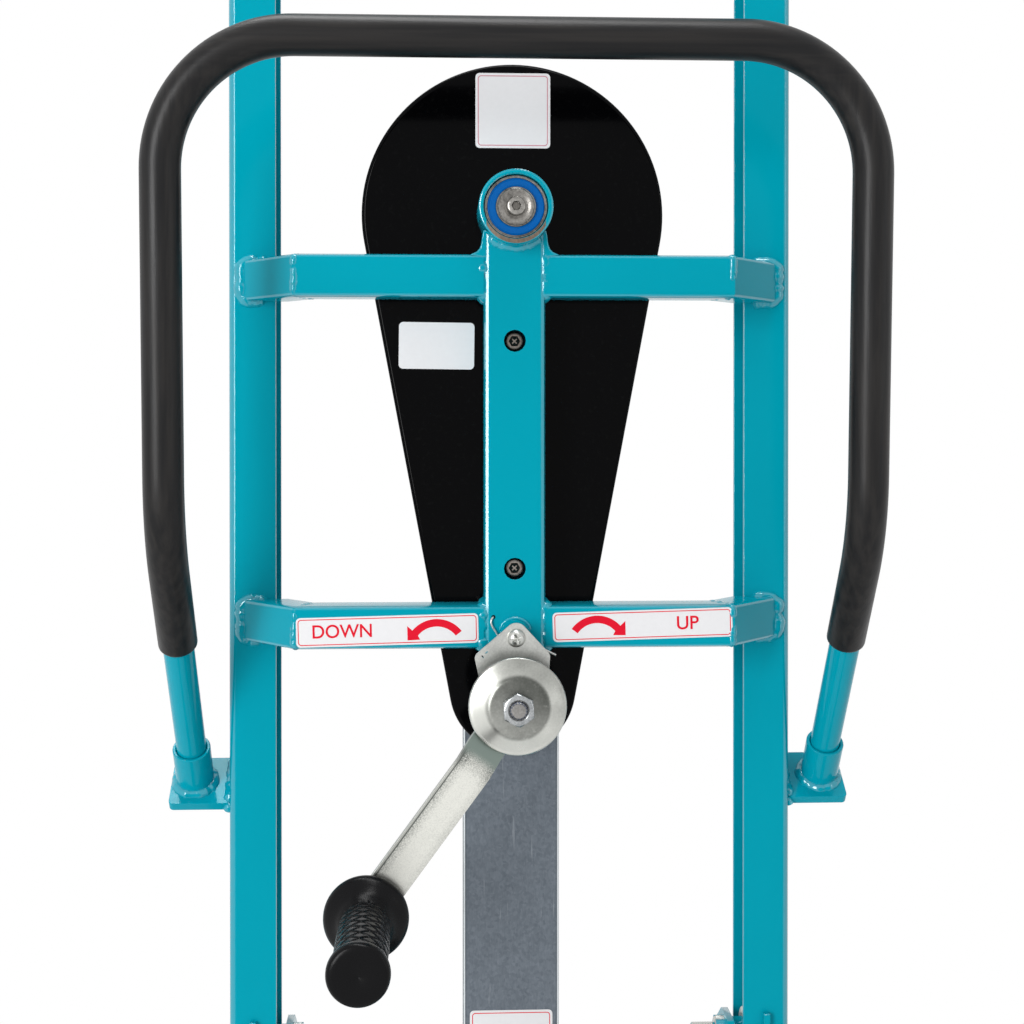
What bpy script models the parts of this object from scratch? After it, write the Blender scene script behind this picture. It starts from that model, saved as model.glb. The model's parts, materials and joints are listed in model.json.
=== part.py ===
"""A hand cranked material lift, for Blender 4.5: metres, +Z up, forks towards +Y, operator at -Y.

Every piece is placed from the front faces of the crossbars, which lie at y = 0 of the lift's own
empty. That empty stands so that the middle of the whole lift's footprint is the world origin.
"""

import math

import bmesh
import bpy
from mathutils import Matrix, Vector

# Clearances
SEAT_GAP = 0.0003
RUN_GAP = 0.0003
TOOTH_GAP = 0.0012

# Mast rails, open towards each other
MAST_SPAN = 0.480
MAST_SPARE = 0.130
RAIL_SET_BACK = 0.060
RAIL_DEPTH = 0.050
RAIL_FLANGE = 0.040
RAIL_WALL = 0.004
RAIL_BEND = 0.007
TIE_HEIGHT = 0.030

# Crossbars and centre post
TUBE_SIZE = 0.035
TUBE_WALL = 0.003
TUBE_ROUND = 0.004
ARM_KINK_INSET = 0.059
ARM_LANDING_INSET = 0.010
ARM_ABOVE_CRANK = 0.0568
ARM_SPACING = 0.2869
POST_WIDTH = 0.050
ACCESS_HOLE = 0.018
UPPER_ACCESS_ABOVE_CRANK = 0.2906
LOWER_ACCESS_ABOVE_CRANK = 0.1045

# Crank axis and chain drive
CRANK_Z = 0.880
CHAIN_PITCH = 0.015875
CHAIN_ROLLER = 0.01016
CHAIN_WIDTH = 0.014
CHAIN_PLATE = 0.0147
DRIVE_LINKS = 78
LARGE_TEETH = 42
SMALL_TEETH = 12
SPROCKET_WIDTH = 0.0091
DRIVE_PLANE = 0.050
LIFT_PLANE = 0.088
SMALL_HUB = 0.020
LARGE_HUB = 0.030

# Upper shaft
SHAFT_RADIUS = 0.0125
SHAFT_BACK = 0.104
BEARING_RADIUS = 0.026
BEARING_WIDTH = 0.015
BEARING_RECESS = 0.004
HOUSING_RADIUS = 0.03015
HOUSING_FRONT = -0.022
HOUSING_SHOULDER = 0.023
WASHER_RADIUS = 0.015
WASHER_THICK = 0.003
SHAFT_SCREW_HEAD = 0.0065

# Crank shaft, load brake and crank
CRANK_SHAFT_RADIUS = 0.010
CRANK_NECK_RADIUS = 0.008
CRANK_THREAD_RADIUS = 0.0068
CRANK_HOUSING_RADIUS = 0.025
CRANK_HOUSING_FRONT = -0.006
RATCHET_TEETH = 12
RATCHET_RADIUS = 0.033
RATCHET_DEPTH = 0.0045
RATCHET_THICK = 0.008
PLATE_FRONT = -0.022
PLATE_THICK = 0.003
FRICTION_FRONT = -0.033
FRICTION_RADIUS = 0.026
ARM_THICK = 0.008
ARM_WIDTH = 0.030
ARM_JOGGLE = 0.011
ARM_PAST_CAP = 0.0045
CRANK_RADIUS = 0.200
CRANK_ANGLE = math.radians(36.4)
CAP_RADIUS = 0.039
CAP_PLATEAU = 0.0235
CAP_DISH = 0.009
CAP_THICK = 0.0025
CAP_FRONT = -0.055
NUT_ACROSS = 0.0235
NUT_HEIGHT = 0.0088

# Crank grip
GRIP_LENGTH = 0.135
GRIP_FLANGE = 0.0335
GRIP_BODY = 0.019
GRIP_END = 0.023
GRIP_PIN = 0.006

# Pawl
PAWL_RISE = 0.051
PAWL_BOSS = 0.0125
PAWL_EYE = 0.008
PAWL_NOSE = 0.0016
PAWL_NOSE_RISE = 0.0025
PAWL_SHOULDER = (0.020, -0.013, 0.0045)
PAWL_BITE = math.radians(55)
PAWL_SCREW = 0.004
PAWL_HEAD = 0.0075
PAWL_THICK = 0.0105
SPRING_WIRE = 0.0009

# Chain case
CASE_FRONT_GAP = 0.0003
CASE_DEPTH = 0.028
CASE_WALL = 0.002
CASE_TOP_RADIUS = 0.1265
CASE_FOOT_RADIUS = 0.0532
CASE_EDGE = 0.004
CASE_SCREW = 0.004
CASE_SCREW_HEAD = 0.0065

# Guard column for the lifting chain
GUARD_WIDTH = 0.082
GUARD_DEPTH = 0.040
GUARD_WALL = 0.002
GUARD_ABOVE_SHAFT = 0.060
IDLER_ABOVE_TUBE = 0.045
IDLER_PIN = 0.008
IDLER_PLATE = 0.060

# Push handle
HANDLE_RADIUS = 0.0125
HANDLE_WALL = 0.0025
HANDLE_OUT = 0.032
HANDLE_FOOT = (0.091, 0.791)
HANDLE_KNEE = (-0.071, 1.020)
HANDLE_HEAD = (-0.091, 1.396)
HANDLE_CORNER = 0.101
HANDLE_KNEE_ROUND = 0.150
SLEEVE_RADIUS = 0.0157
SLEEVE_ABOVE_FOOT = 0.1636
SOCKET_RADIUS = 0.016
SOCKET_LENGTH = 0.041
SOCKET_PLATE = 0.052
SOCKET_PLATE_THICK = 0.008

# Base
LEG_WIDTH = 0.040
LEG_HEIGHT = 0.050
LEG_CENTRE_Z = 0.045
LEG_REAR = -0.115
LEG_FRONT = 0.700
LEG_FORK = 0.100
CROSS_TUBE_DEPTH = 0.050
FRONT_ROLLER_WIDTH = 0.030
FRONT_PIN = 0.006
FRONT_PIN_INSET = 0.020
AXLE_Y = -0.080
AXLE_Z = 0.130
AXLE_RADIUS = 0.010
BRACKET_WIDTH = 0.060
BRACKET_THICK = 0.010
WHEEL_WIDTH = 0.085
WHEEL_HUB_LENGTH = 0.075
WHEEL_GAP = 0.012
RIM_SEAT = 0.060
RIM_FLANGE = 0.070
AXLE_END = 0.008

# Carriage and forks
LIFT_STROKE = 1.000
PLATE_OFFSET = 0.0465
SIDE_PLATE_THICK = 0.006
SIDE_PLATE_TOP = 0.586
SIDE_PLATE_SHOULDER = 0.548
SIDE_PLATE_CHAMFER = 0.055
SIDE_PLATE_FOOT = 0.150
SIDE_PLATE_BACK = 0.066
CARRIAGE_TUBE = 0.040
CARRIAGE_TUBE_GAP = 0.004
LOWER_TUBE_Z = 0.200
TUBE_END_HOLE = 0.012
UPPER_TUBE_Z = 0.520
ROLLER_TOP_Z = 0.570
ROLLER_SPACING = 0.400
ROLLER_WIDTH = 0.028
ROLLER_BOLT = 0.008
ROLLER_COLLAR = 0.013
ROLLER_BOLT_REACH = 0.081
ROLLER_NUT_ACROSS = 0.024
ROLLER_NUT_HEIGHT = 0.008
FORK_WIDTH = 0.080
FORK_THICK = 0.012
FORK_LENGTH = 0.500
FORK_BOTTOM = 0.043
FORK_INSET = 0.095
FORK_TOP = 0.545
FORK_BEND = 0.010
CLAMP_HEIGHT = 0.044

# Roundness of turned pieces
FINE_STEPS = 24
STEPS = 20
SMALL_STEPS = 16

# Worked out from the sizes above
LEG_TOP = LEG_CENTRE_Z + LEG_HEIGHT / 2
ARM_KINK_X = MAST_SPAN / 2 - ARM_KINK_INSET
ARM_LANDING_X = MAST_SPAN / 2 - ARM_LANDING_INSET
HANDLE_HALF = MAST_SPAN / 2 + HANDLE_OUT
FORK_CENTRE_X = MAST_SPAN / 2 - FORK_INSET
ROLLER_BOLT_INNER = MAST_SPAN / 2 - ROLLER_BOLT_REACH
MAST_TOP = ROLLER_TOP_Z + LIFT_STROKE + MAST_SPARE
FRONT_ROLLER_RADIUS = LEG_CENTRE_Z
FRONT_ROLLER_Y = LEG_FRONT - FRONT_PIN_INSET
WHEEL_RADIUS = AXLE_Z
WHEEL_X = MAST_SPAN / 2 + WHEEL_GAP + WHEEL_WIDTH / 2
RAIL_CENTRE_Y = RAIL_SET_BACK + RAIL_DEPTH / 2
RAIL_INNER_X = MAST_SPAN / 2 - RAIL_FLANGE
LEG_X = MAST_SPAN / 2 - LEG_WIDTH / 2
ROLLER_RADIUS = RAIL_DEPTH / 2 - RAIL_WALL - RUN_GAP
SMALL_PITCH_RADIUS = CHAIN_PITCH / 2 / math.sin(math.pi / SMALL_TEETH)
LARGE_PITCH_RADIUS = CHAIN_PITCH / 2 / math.sin(math.pi / LARGE_TEETH)
_SLACK = DRIVE_LINKS - (LARGE_TEETH + SMALL_TEETH) / 2
_TEETH_TERM = ((LARGE_TEETH - SMALL_TEETH) / (2 * math.pi)) ** 2
SHAFT_DISTANCE = CHAIN_PITCH * (_SLACK + math.sqrt(_SLACK**2 - 8 * _TEETH_TERM)) / 4
SHAFT_Z = CRANK_Z + SHAFT_DISTANCE
IDLER_Z = LEG_TOP + IDLER_ABOVE_TUBE
CASE_FRONT = TUBE_SIZE + CASE_FRONT_GAP
CASE_BACK = CASE_FRONT + CASE_DEPTH + SEAT_GAP + CASE_WALL
GUARD_BACK = CASE_BACK + SEAT_GAP
GUARD_TOP = SHAFT_Z + GUARD_ABOVE_SHAFT
PLATE_X = MAST_SPAN / 2 - PLATE_OFFSET
CARRIAGE_TUBE_Y = RAIL_SET_BACK + RAIL_DEPTH + CARRIAGE_TUBE_GAP
CARRIAGE_FRONT = CARRIAGE_TUBE_Y + CARRIAGE_TUBE
FORK_BACK = CARRIAGE_FRONT + SEAT_GAP
ARM_HUB_BACK = FRICTION_FRONT - SEAT_GAP
ARM_HUB_FRONT = ARM_HUB_BACK - ARM_THICK
CAP_PLATEAU_BACK = CAP_FRONT + CAP_THICK
GRIP_PIN_BACK = ARM_HUB_BACK - ARM_JOGGLE
GRIP_START = GRIP_PIN_BACK - ARM_THICK - 0.004
REAR_REACH = max(WHEEL_RADIUS - AXLE_Y, GRIP_LENGTH - GRIP_START)
FRONT_REACH = max(FRONT_ROLLER_Y + FRONT_ROLLER_RADIUS, FORK_BACK + FORK_THICK + FORK_LENGTH)
CROSSBAR_Y = (REAR_REACH - FRONT_REACH) / 2

# Turns that lay a piece's own Z along a world axis, and a flat outline across one
ALONG = {"X": (0, math.pi / 2, 0), "Y": (-math.pi / 2, 0, 0), "Z": (0, 0, 0)}
ACROSS = {"X": (math.pi / 2, 0, math.pi / 2), "Y": (math.pi / 2, 0, 0), "Z": (0, 0, 0)}


# The empty scene and its collections
def clear_scene():
    for thing in list(bpy.data.objects):
        bpy.data.objects.remove(thing, do_unlink=True)


def new_collection(name, hidden=False):
    collection = bpy.data.collections.new(name)
    bpy.context.scene.collection.children.link(collection)
    collection.hide_render = hidden
    return collection


clear_scene()
LIFT = new_collection("material_lift")
CUTTERS = new_collection("cutters", hidden=True)


# Finishes
def finish(name, colour, roughness, metallic):
    made = bpy.data.materials.new(name)
    made.use_nodes = True
    shader = made.node_tree.nodes["Principled BSDF"]
    shader.inputs["Base Color"].default_value = (*colour, 1)
    shader.inputs["Roughness"].default_value = roughness
    shader.inputs["Metallic"].default_value = metallic
    made.diffuse_color = (*colour, 1)
    return made


PAINT = ("turquoise_paint", (0.002, 0.34, 0.44), 0.32, 0.0)
BLACK_GLOSS = ("black_gloss_paint", (0.004, 0.0045, 0.0045), 0.15, 0.0)
ZINC = ("bright_zinc", (0.52, 0.53, 0.51), 0.32, 1.0)
GALVANISED = ("galvanised_sheet", (0.19, 0.22, 0.25), 0.5, 0.9)
STEEL = ("plain_steel", (0.35, 0.35, 0.34), 0.35, 1.0)
CHAIN_STEEL = ("oiled_chain_steel", (0.12, 0.11, 0.10), 0.38, 1.0)
SOFT_SLEEVE = ("charcoal_sleeve", (0.045, 0.046, 0.05), 0.6, 0.0)
RUBBER = ("black_rubber", (0.02, 0.02, 0.022), 0.65, 0.0)
RIM_PLASTIC = ("grey_rim_plastic", (0.25, 0.26, 0.27), 0.45, 0.0)
NYLON = ("white_nylon", (0.62, 0.61, 0.57), 0.4, 0.0)
BLACK_STEEL = ("black_oxide_steel", (0.02, 0.02, 0.021), 0.4, 0.7)


# Objects and how they are placed
def group(name, place=(0, 0, 0), parent=None, turn=(0, 0, 0)):
    """An empty on a joint's axis, or at the lift's own origin."""
    empty = bpy.data.objects.new(name, None)
    empty.empty_display_size = 0.05
    empty.location = place
    empty.rotation_euler = turn
    empty.parent = parent
    LIFT.objects.link(empty)
    return empty


def dress(piece, surface):
    made = bpy.data.materials.get(surface[0]) or finish(*surface)
    piece.data.materials.clear()
    piece.data.materials.append(made)


def put(piece, parent, place, turn, surface):
    """A piece goes in the lift's collection; a helper without a surface goes with the cutters."""
    piece.parent = parent
    piece.location = place
    piece.rotation_euler = turn
    if surface:
        LIFT.objects.link(piece)
        dress(piece, surface)
    else:
        CUTTERS.objects.link(piece)
        piece.hide_render = True
        piece.display_type = "WIRE"
    return piece


def from_bmesh(name, shape, parent, place, turn, surface, smooth=False):
    mesh = bpy.data.meshes.new(name)
    bmesh.ops.recalc_face_normals(shape, faces=shape.faces)
    shape.to_mesh(mesh)
    shape.free()
    if smooth:
        mesh.shade_smooth()
        mesh.set_sharp_from_angle(angle=math.radians(35))
    return put(bpy.data.objects.new(name, mesh), parent, place, turn, surface)


def block(name, low, high, parent, surface=None):
    """A box between two corners."""
    shape = bmesh.new()
    bmesh.ops.create_cube(shape, size=1)
    size = [b - a for a, b in zip(low, high)]
    middle = [(a + b) / 2 for a, b in zip(low, high)]
    bmesh.ops.scale(shape, vec=size, verts=shape.verts)
    return from_bmesh(name, shape, parent, middle, (0, 0, 0), surface)


def rod(name, radius, start, end, axis, parent, surface=None, across=(0, 0), steps=SMALL_STEPS):
    """A plain cylinder along an axis, from start to end, at the two other coordinates in across."""
    shape = bmesh.new()
    bmesh.ops.create_cone(
        shape, cap_ends=True, segments=steps, radius1=radius, radius2=radius, depth=end - start
    )
    middle = (start + end) / 2
    place = {
        "X": (middle, across[0], across[1]),
        "Y": (across[0], middle, across[1]),
        "Z": (across[0], across[1], middle),
    }[axis]
    return from_bmesh(name, shape, parent, place, ALONG[axis], surface, smooth=True)


def turned(name, profile, axis, parent, place, surface=None, steps=STEPS):
    """A solid of revolution. The profile holds (radius, distance along the axis) points."""
    ring = profile[0][0] > 0
    loop = list(profile)
    area = 0
    for (r1, h1), (r2, h2) in zip(loop, loop[1:] + loop[:1]):
        area += r1 * h2 - r2 * h1
    if area > 0:
        loop.reverse()
    mesh = bpy.data.meshes.new(name)
    shape = bmesh.new()
    corners = [shape.verts.new((radius, 0, along)) for radius, along in loop]
    for first, second in zip(corners, corners[1:]):
        shape.edges.new((first, second))
    if ring:
        shape.edges.new((corners[-1], corners[0]))
    shape.to_mesh(mesh)
    shape.free()
    piece = put(bpy.data.objects.new(name, mesh), parent, place, ALONG[axis], surface)
    screw = piece.modifiers.new("turn", "SCREW")
    screw.angle = 2 * math.pi
    screw.steps = steps
    screw.render_steps = steps
    screw.use_merge_vertices = True
    screw.merge_threshold = 0.00001
    screw.use_smooth_shade = True
    return piece


def flat(name, loops, thick, axis, parent, place, surface=None):
    """A flat outline, its first loop the edge and the others holes, made thick along an axis."""
    curve = bpy.data.curves.new(name, "CURVE")
    curve.dimensions = "2D"
    curve.fill_mode = "BOTH"
    curve.extrude = thick / 2
    for loop in loops:
        spline = curve.splines.new("POLY")
        spline.points.add(len(loop) - 1)
        for point, (u, v) in zip(spline.points, loop):
            point.co = (u, v, 0, 1)
        spline.use_cyclic_u = True
    return put(bpy.data.objects.new(name, curve), parent, place, ACROSS[axis], surface)


def as_mesh(piece):
    """The same piece as a mesh with its caps joined, so that it can be cut."""
    bpy.context.view_layer.update()
    graph = bpy.context.evaluated_depsgraph_get()
    mesh = bpy.data.meshes.new_from_object(piece.evaluated_get(graph))
    shape = bmesh.new()
    shape.from_mesh(mesh)
    bmesh.ops.remove_doubles(shape, verts=shape.verts, dist=0.000005)
    bmesh.ops.dissolve_degenerate(shape, edges=shape.edges, dist=0.000002)
    bmesh.ops.recalc_face_normals(shape, faces=shape.faces)
    shape.to_mesh(mesh)
    shape.free()
    name = piece.name
    made = bpy.data.objects.new(name + "_mesh", mesh)
    made.parent = piece.parent
    made.location = piece.location
    made.rotation_euler = piece.rotation_euler
    made.hide_render = piece.hide_render
    made.display_type = piece.display_type
    for collection in piece.users_collection:
        collection.objects.link(made)
    bpy.data.objects.remove(piece, do_unlink=True)
    made.name = name
    return made


def boolean(piece, tool, operation):
    modifier = piece.modifiers.new(tool.name, "BOOLEAN")
    modifier.operation = operation
    modifier.object = tool
    return piece


def cut(piece, *tools):
    for tool in tools:
        boolean(piece, tool, "DIFFERENCE")
    return piece


def weld(piece, *tools):
    for tool in tools:
        boolean(piece, tool, "UNION")
    return piece


def hollow(piece, wall):
    """An open surface made into a shell whose wall lies inside it."""
    shell = piece.modifiers.new("wall", "SOLIDIFY")
    shell.thickness = wall
    shell.offset = -1
    shell.use_even_offset = True
    return piece


def round_edges(piece, width, segments=2, limit=50):
    edges = piece.modifiers.new("edges", "BEVEL")
    edges.width = width
    edges.segments = segments
    edges.limit_method = "ANGLE"
    edges.angle_limit = math.radians(limit)
    return piece


# Outlines
def arc(centre, radius, start, end, steps):
    """Points on an arc, its angles in degrees, both ends included."""
    points = []
    for step in range(steps + 1):
        angle = math.radians(start + (end - start) * step / steps)
        points.append((centre[0] + radius * math.cos(angle), centre[1] + radius * math.sin(angle)))
    return points


def circle(radius, steps=STEPS, centre=(0, 0)):
    return arc(centre, radius, 0, 360 * (steps - 1) / steps, steps - 1)


def rounded_box(width, height, corner, steps=2):
    u = width / 2 - corner
    v = height / 2 - corner
    points = []
    for number, (x, y) in enumerate(((u, v), (-u, v), (-u, -v), (u, -v))):
        points += arc((x, y), corner, 90 * number, 90 * number + 90, steps)
    return points


def hull_of_circles(circles, steps=6):
    """The outline of a taut band round circles given as (x, y, radius), in counterclockwise order."""
    points = []
    count = len(circles)
    normals = []
    for number in range(count):
        x1, y1, r1 = circles[number]
        x2, y2, r2 = circles[(number + 1) % count]
        distance = math.hypot(x2 - x1, y2 - y1)
        heading = math.atan2(y2 - y1, x2 - x1)
        normals.append(heading - math.pi / 2 + math.asin((r2 - r1) / distance) * -1)
    for number, (x, y, radius) in enumerate(circles):
        start = math.degrees(normals[number - 1])
        end = math.degrees(normals[number])
        while end < start:
            end += 360
        points += arc((x, y), radius, start, end, steps)
    return points


def hexagon(across):
    return circle(across / 2 / math.cos(math.pi / 6), 6)


def sprocket_outline(teeth):
    """Roller seats joined by tooth tips."""
    pitch_radius = CHAIN_PITCH / 2 / math.sin(math.pi / teeth)
    tip_radius = sprocket_tip(teeth)
    seat = CHAIN_ROLLER / 2 * 1.02
    points = []
    for tooth in range(teeth):
        angle = 2 * math.pi * tooth / teeth
        middle = (pitch_radius * math.cos(angle), pitch_radius * math.sin(angle))
        facing = math.degrees(angle) + 180
        points += arc(middle, seat, facing + 50, facing - 50, 1 if teeth > 20 else 2)
        tip = angle + math.pi / teeth
        points.append((tip_radius * math.cos(tip), tip_radius * math.sin(tip)))
    return points


def sprocket_tip(teeth):
    return CHAIN_PITCH * (0.6 + 1 / math.tan(math.pi / teeth)) / 2


def ratchet_outline():
    """Saw teeth whose steep faces stop at the pawl's nose when the wheel turns counterclockwise."""
    points = []
    root = RATCHET_RADIUS - RATCHET_DEPTH
    step = 2 * math.pi / RATCHET_TEETH
    for tooth in range(RATCHET_TEETH):
        steep = PAWL_BITE - 0.12 * step + step * tooth
        for share, rise in ((0, 0), (0.5, 0.45), (0.94, 1)):
            angle = steep + step * share
            radius = root + RATCHET_DEPTH * rise
            points.append((radius * math.cos(angle), radius * math.sin(angle)))
    return points


def teardrop(top_radius, foot_radius, distance, steps):
    """Two circles one above the other in a taut band, drawn from the upper one's centre."""
    tilt = math.degrees(math.asin((top_radius - foot_radius) / distance))
    points = arc((0, 0), top_radius, -tilt, 180 + tilt, steps)
    points += arc((0, -distance), foot_radius, 180 + tilt, 360 - tilt, steps // 2)
    return points


def smooth_path(corners, radii, degrees_a_step):
    """A path through corners, with each inner corner rounded to its radius."""
    path = [Vector(corners[0])]
    for number in range(1, len(corners) - 1):
        corner = Vector(corners[number])
        before = (Vector(corners[number - 1]) - corner).normalized()
        after = (Vector(corners[number + 1]) - corner).normalized()
        half = before.angle(after) / 2
        reach = radii[number - 1] / math.tan(half)
        bisector = (before + after).normalized()
        centre = corner + bisector * radii[number - 1] / math.sin(half)
        first = corner + before * reach - centre
        last = corner + after * reach - centre
        turn = first.angle(last)
        axis = first.cross(last).normalized()
        steps = math.ceil(math.degrees(turn) / degrees_a_step)
        for step in range(steps + 1):
            path.append(centre + Matrix.Rotation(turn * step / steps, 3, axis) @ first)
    path.append(Vector(corners[-1]))
    return path


def wire(name, path, radius, parent, surface, caps=True, resolution=3):
    """A round bar or an open tube skin along a path."""
    curve = bpy.data.curves.new(name, "CURVE")
    curve.dimensions = "3D"
    curve.bevel_depth = radius
    curve.bevel_resolution = resolution
    curve.use_fill_caps = caps
    curve.twist_mode = "MINIMUM"
    spline = curve.splines.new("POLY")
    spline.points.add(len(path) - 1)
    for point, place in zip(spline.points, path):
        point.co = (*place, 1)
    spline.use_smooth = True
    return put(bpy.data.objects.new(name, curve), parent, (0, 0, 0), (0, 0, 0), surface)


def square_tube(name, width, height, length, axis, parent, place, surface, corner=TUBE_ROUND, wall=TUBE_WALL):
    loops = [rounded_box(width, height, corner)]
    u = width / 2 - wall
    v = height / 2 - wall
    loops.append([(u, v), (-u, v), (-u, -v), (u, -v)])
    return flat(name, loops, length, axis, parent, place, surface)


# The mast
ORIGIN = group("lift_origin", (0, CROSSBAR_Y, 0))
SIDES = (("left", -1), ("right", 1))


def rail_outline(side):
    """A channel seen from above, its web outside and its flanges pointing to the other rail."""
    outer = MAST_SPAN / 2
    deep = RAIL_DEPTH / 2
    bend = RAIL_BEND
    inside = max(bend - RAIL_WALL, RAIL_WALL / 4)
    points = [(RAIL_INNER_X, -deep)]
    points += arc((outer - bend, -deep + bend), bend, -90, 0, 4)
    points += arc((outer - bend, deep - bend), bend, 0, 90, 4)
    points.append((RAIL_INNER_X, deep))
    points.append((RAIL_INNER_X, deep - RAIL_WALL))
    corner = outer - RAIL_WALL - inside
    points += arc((corner, deep - RAIL_WALL - inside), inside, 90, 0, 2)
    points += arc((corner, -deep + RAIL_WALL + inside), inside, 0, -90, 2)
    points.append((RAIL_INNER_X, -deep + RAIL_WALL))
    if side < 0:
        points = [(-x, y) for x, y in reversed(points)]
    return points


def make_rails():
    foot = LEG_TOP + SEAT_GAP
    for word, side in SIDES:
        place = (0, RAIL_CENTRE_Y, (foot + MAST_TOP) / 2)
        flat(f"mast_rail_{word}", [rail_outline(side)], MAST_TOP - foot, "Z", ORIGIN, place, PAINT)
    tie_z = MAST_TOP + SEAT_GAP + TIE_HEIGHT / 2
    square_tube(
        "mast_top_tie", RAIL_DEPTH, TIE_HEIGHT, MAST_SPAN, "X", ORIGIN, (0, RAIL_CENTRE_Y, tie_z), PAINT
    )


def make_arm(name, side, centre_z):
    """Half a crossbar: straight out from the post, then mitred back to the rail."""
    half = TUBE_SIZE / 2
    start = POST_WIDTH / 2 + SEAT_GAP
    landing = RAIL_SET_BACK - SEAT_GAP
    slope = (ARM_LANDING_X - ARM_KINK_X) / RAIL_SET_BACK
    bend = math.atan2(1, slope)
    inner_kink = ARM_KINK_X - TUBE_SIZE * math.tan(bend / 2)
    spare = 2 * TUBE_WALL
    far = landing + spare
    outer = [(start - spare, 0), (ARM_KINK_X, 0), (ARM_KINK_X + slope * far, far)]
    inner = [(start - spare, TUBE_SIZE), (inner_kink, TUBE_SIZE)]
    inner.append((inner_kink + slope * (far - TUBE_SIZE), far))
    shape = bmesh.new()
    stations = []
    for (x1, y1), (x2, y2) in zip(outer, inner):
        ring = [(x1, y1, -half), (x2, y2, -half), (x2, y2, half), (x1, y1, half)]
        stations.append([shape.verts.new((side * x, y, z)) for x, y, z in ring])
    for first, second in zip(stations, stations[1:]):
        for corner in range(4):
            following = (corner + 1) % 4
            shape.faces.new((first[corner], first[following], second[following], second[corner]))
    piece = from_bmesh(name, shape, ORIGIN, (0, 0, centre_z), (0, 0, 0), PAINT)
    round_edges(piece, TUBE_ROUND, 2, 60)
    hollow(piece, TUBE_WALL)
    near, end = sorted((side * (start - 2 * spare), side * start))
    at_post = block(f"{name}_post_cut", (near, -0.010, centre_z - 0.030), (end, 0.050, centre_z + 0.030), ORIGIN)
    near, end = sorted((side * 0.120, side * 0.300))
    at_rail = block(
        f"{name}_rail_cut", (near, landing, centre_z - 0.030), (end, landing + 0.030, centre_z + 0.030), ORIGIN
    )
    return cut(piece, at_post, at_rail)


def make_crossbars():
    for word, side in SIDES:
        make_arm(f"lower_arm_{word}", side, CRANK_Z + ARM_ABOVE_CRANK)
        make_arm(f"upper_arm_{word}", side, CRANK_Z + ARM_ABOVE_CRANK + ARM_SPACING)


def make_post():
    """The tube between the two shaft housings, saddled onto both."""
    length = SHAFT_Z - CRANK_Z
    place = (0, TUBE_SIZE / 2, CRANK_Z + length / 2)
    post = square_tube("centre_post", POST_WIDTH, TUBE_SIZE, length, "Z", ORIGIN, place, PAINT)
    post = as_mesh(post)
    boss = rod(
        "pawl_boss", PAWL_BOSS, -PAWL_BOSS_LENGTH, TUBE_WALL / 2, "Y", ORIGIN, None,
        (0, CRANK_Z + PAWL_RISE), STEPS,
    )
    weld(post, boss)
    reach = TUBE_SIZE + 0.030
    for name, radius, z in (
        ("upper_saddle", HOUSING_RADIUS, SHAFT_Z),
        ("lower_saddle", CRANK_HOUSING_RADIUS, CRANK_Z),
    ):
        cut(post, rod(name, radius + SEAT_GAP, -0.030, reach, "Y", ORIGIN, None, (0, z), FINE_STEPS))
    for name, rise in (("upper", UPPER_ACCESS_ABOVE_CRANK), ("lower", LOWER_ACCESS_ABOVE_CRANK)):
        z = CRANK_Z + rise
        front = rod(f"{name}_access", ACCESS_HOLE / 2, -0.010, TUBE_SIZE / 2, "Y", ORIGIN, None, (0, z))
        back = rod(
            f"{name}_screw_hole", CASE_SCREW + RUN_GAP, TUBE_SIZE / 2, reach, "Y", ORIGIN, None, (0, z)
        )
        cut(post, front, back)
    cut(post, rod(
        "pawl_screw_hole", PAWL_SCREW + RUN_GAP, -0.030, TUBE_SIZE / 2, "Y", ORIGIN, None,
        (0, CRANK_Z + PAWL_RISE),
    ))


def make_housings():
    front, back = HOUSING_FRONT, TUBE_SIZE
    seat = BEARING_RADIUS + SEAT_GAP
    depth = BEARING_RECESS + BEARING_WIDTH + SEAT_GAP
    rear = back - BEARING_WIDTH - SEAT_GAP
    profile = [
        (HOUSING_RADIUS, front), (HOUSING_RADIUS, back), (seat, back), (seat, rear),
        (HOUSING_SHOULDER, rear), (HOUSING_SHOULDER, front + depth), (seat, front + depth), (seat, front),
    ]
    turned("shaft_housing", profile, "Y", ORIGIN, (0, 0, SHAFT_Z), PAINT, FINE_STEPS)
    bore = CRANK_SHAFT_RADIUS + RUN_GAP
    profile = [
        (CRANK_HOUSING_RADIUS, CRANK_HOUSING_FRONT), (CRANK_HOUSING_RADIUS, back),
        (bore, back), (bore, CRANK_HOUSING_FRONT),
    ]
    turned("crank_housing", profile, "Y", ORIGIN, (0, 0, CRANK_Z), PAINT)


def make_bearing(name, front):
    """A sealed ball bearing: two rings with a shield sunk a little between them."""
    bore = SHAFT_RADIUS + RUN_GAP
    back = front + BEARING_WIDTH
    wall = BEARING_RADIUS - bore
    outer_land = BEARING_RADIUS - wall * 0.17
    inner_land = bore + wall * 0.20
    sink = 0.0006
    profile = [
        (BEARING_RADIUS, front), (BEARING_RADIUS, back), (bore, back), (bore, front),
        (inner_land, front), (inner_land, front + sink), (outer_land, front + sink), (outer_land, front),
    ]
    turned(name, profile, "Y", ORIGIN, (0, 0, SHAFT_Z), STEEL)


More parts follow.
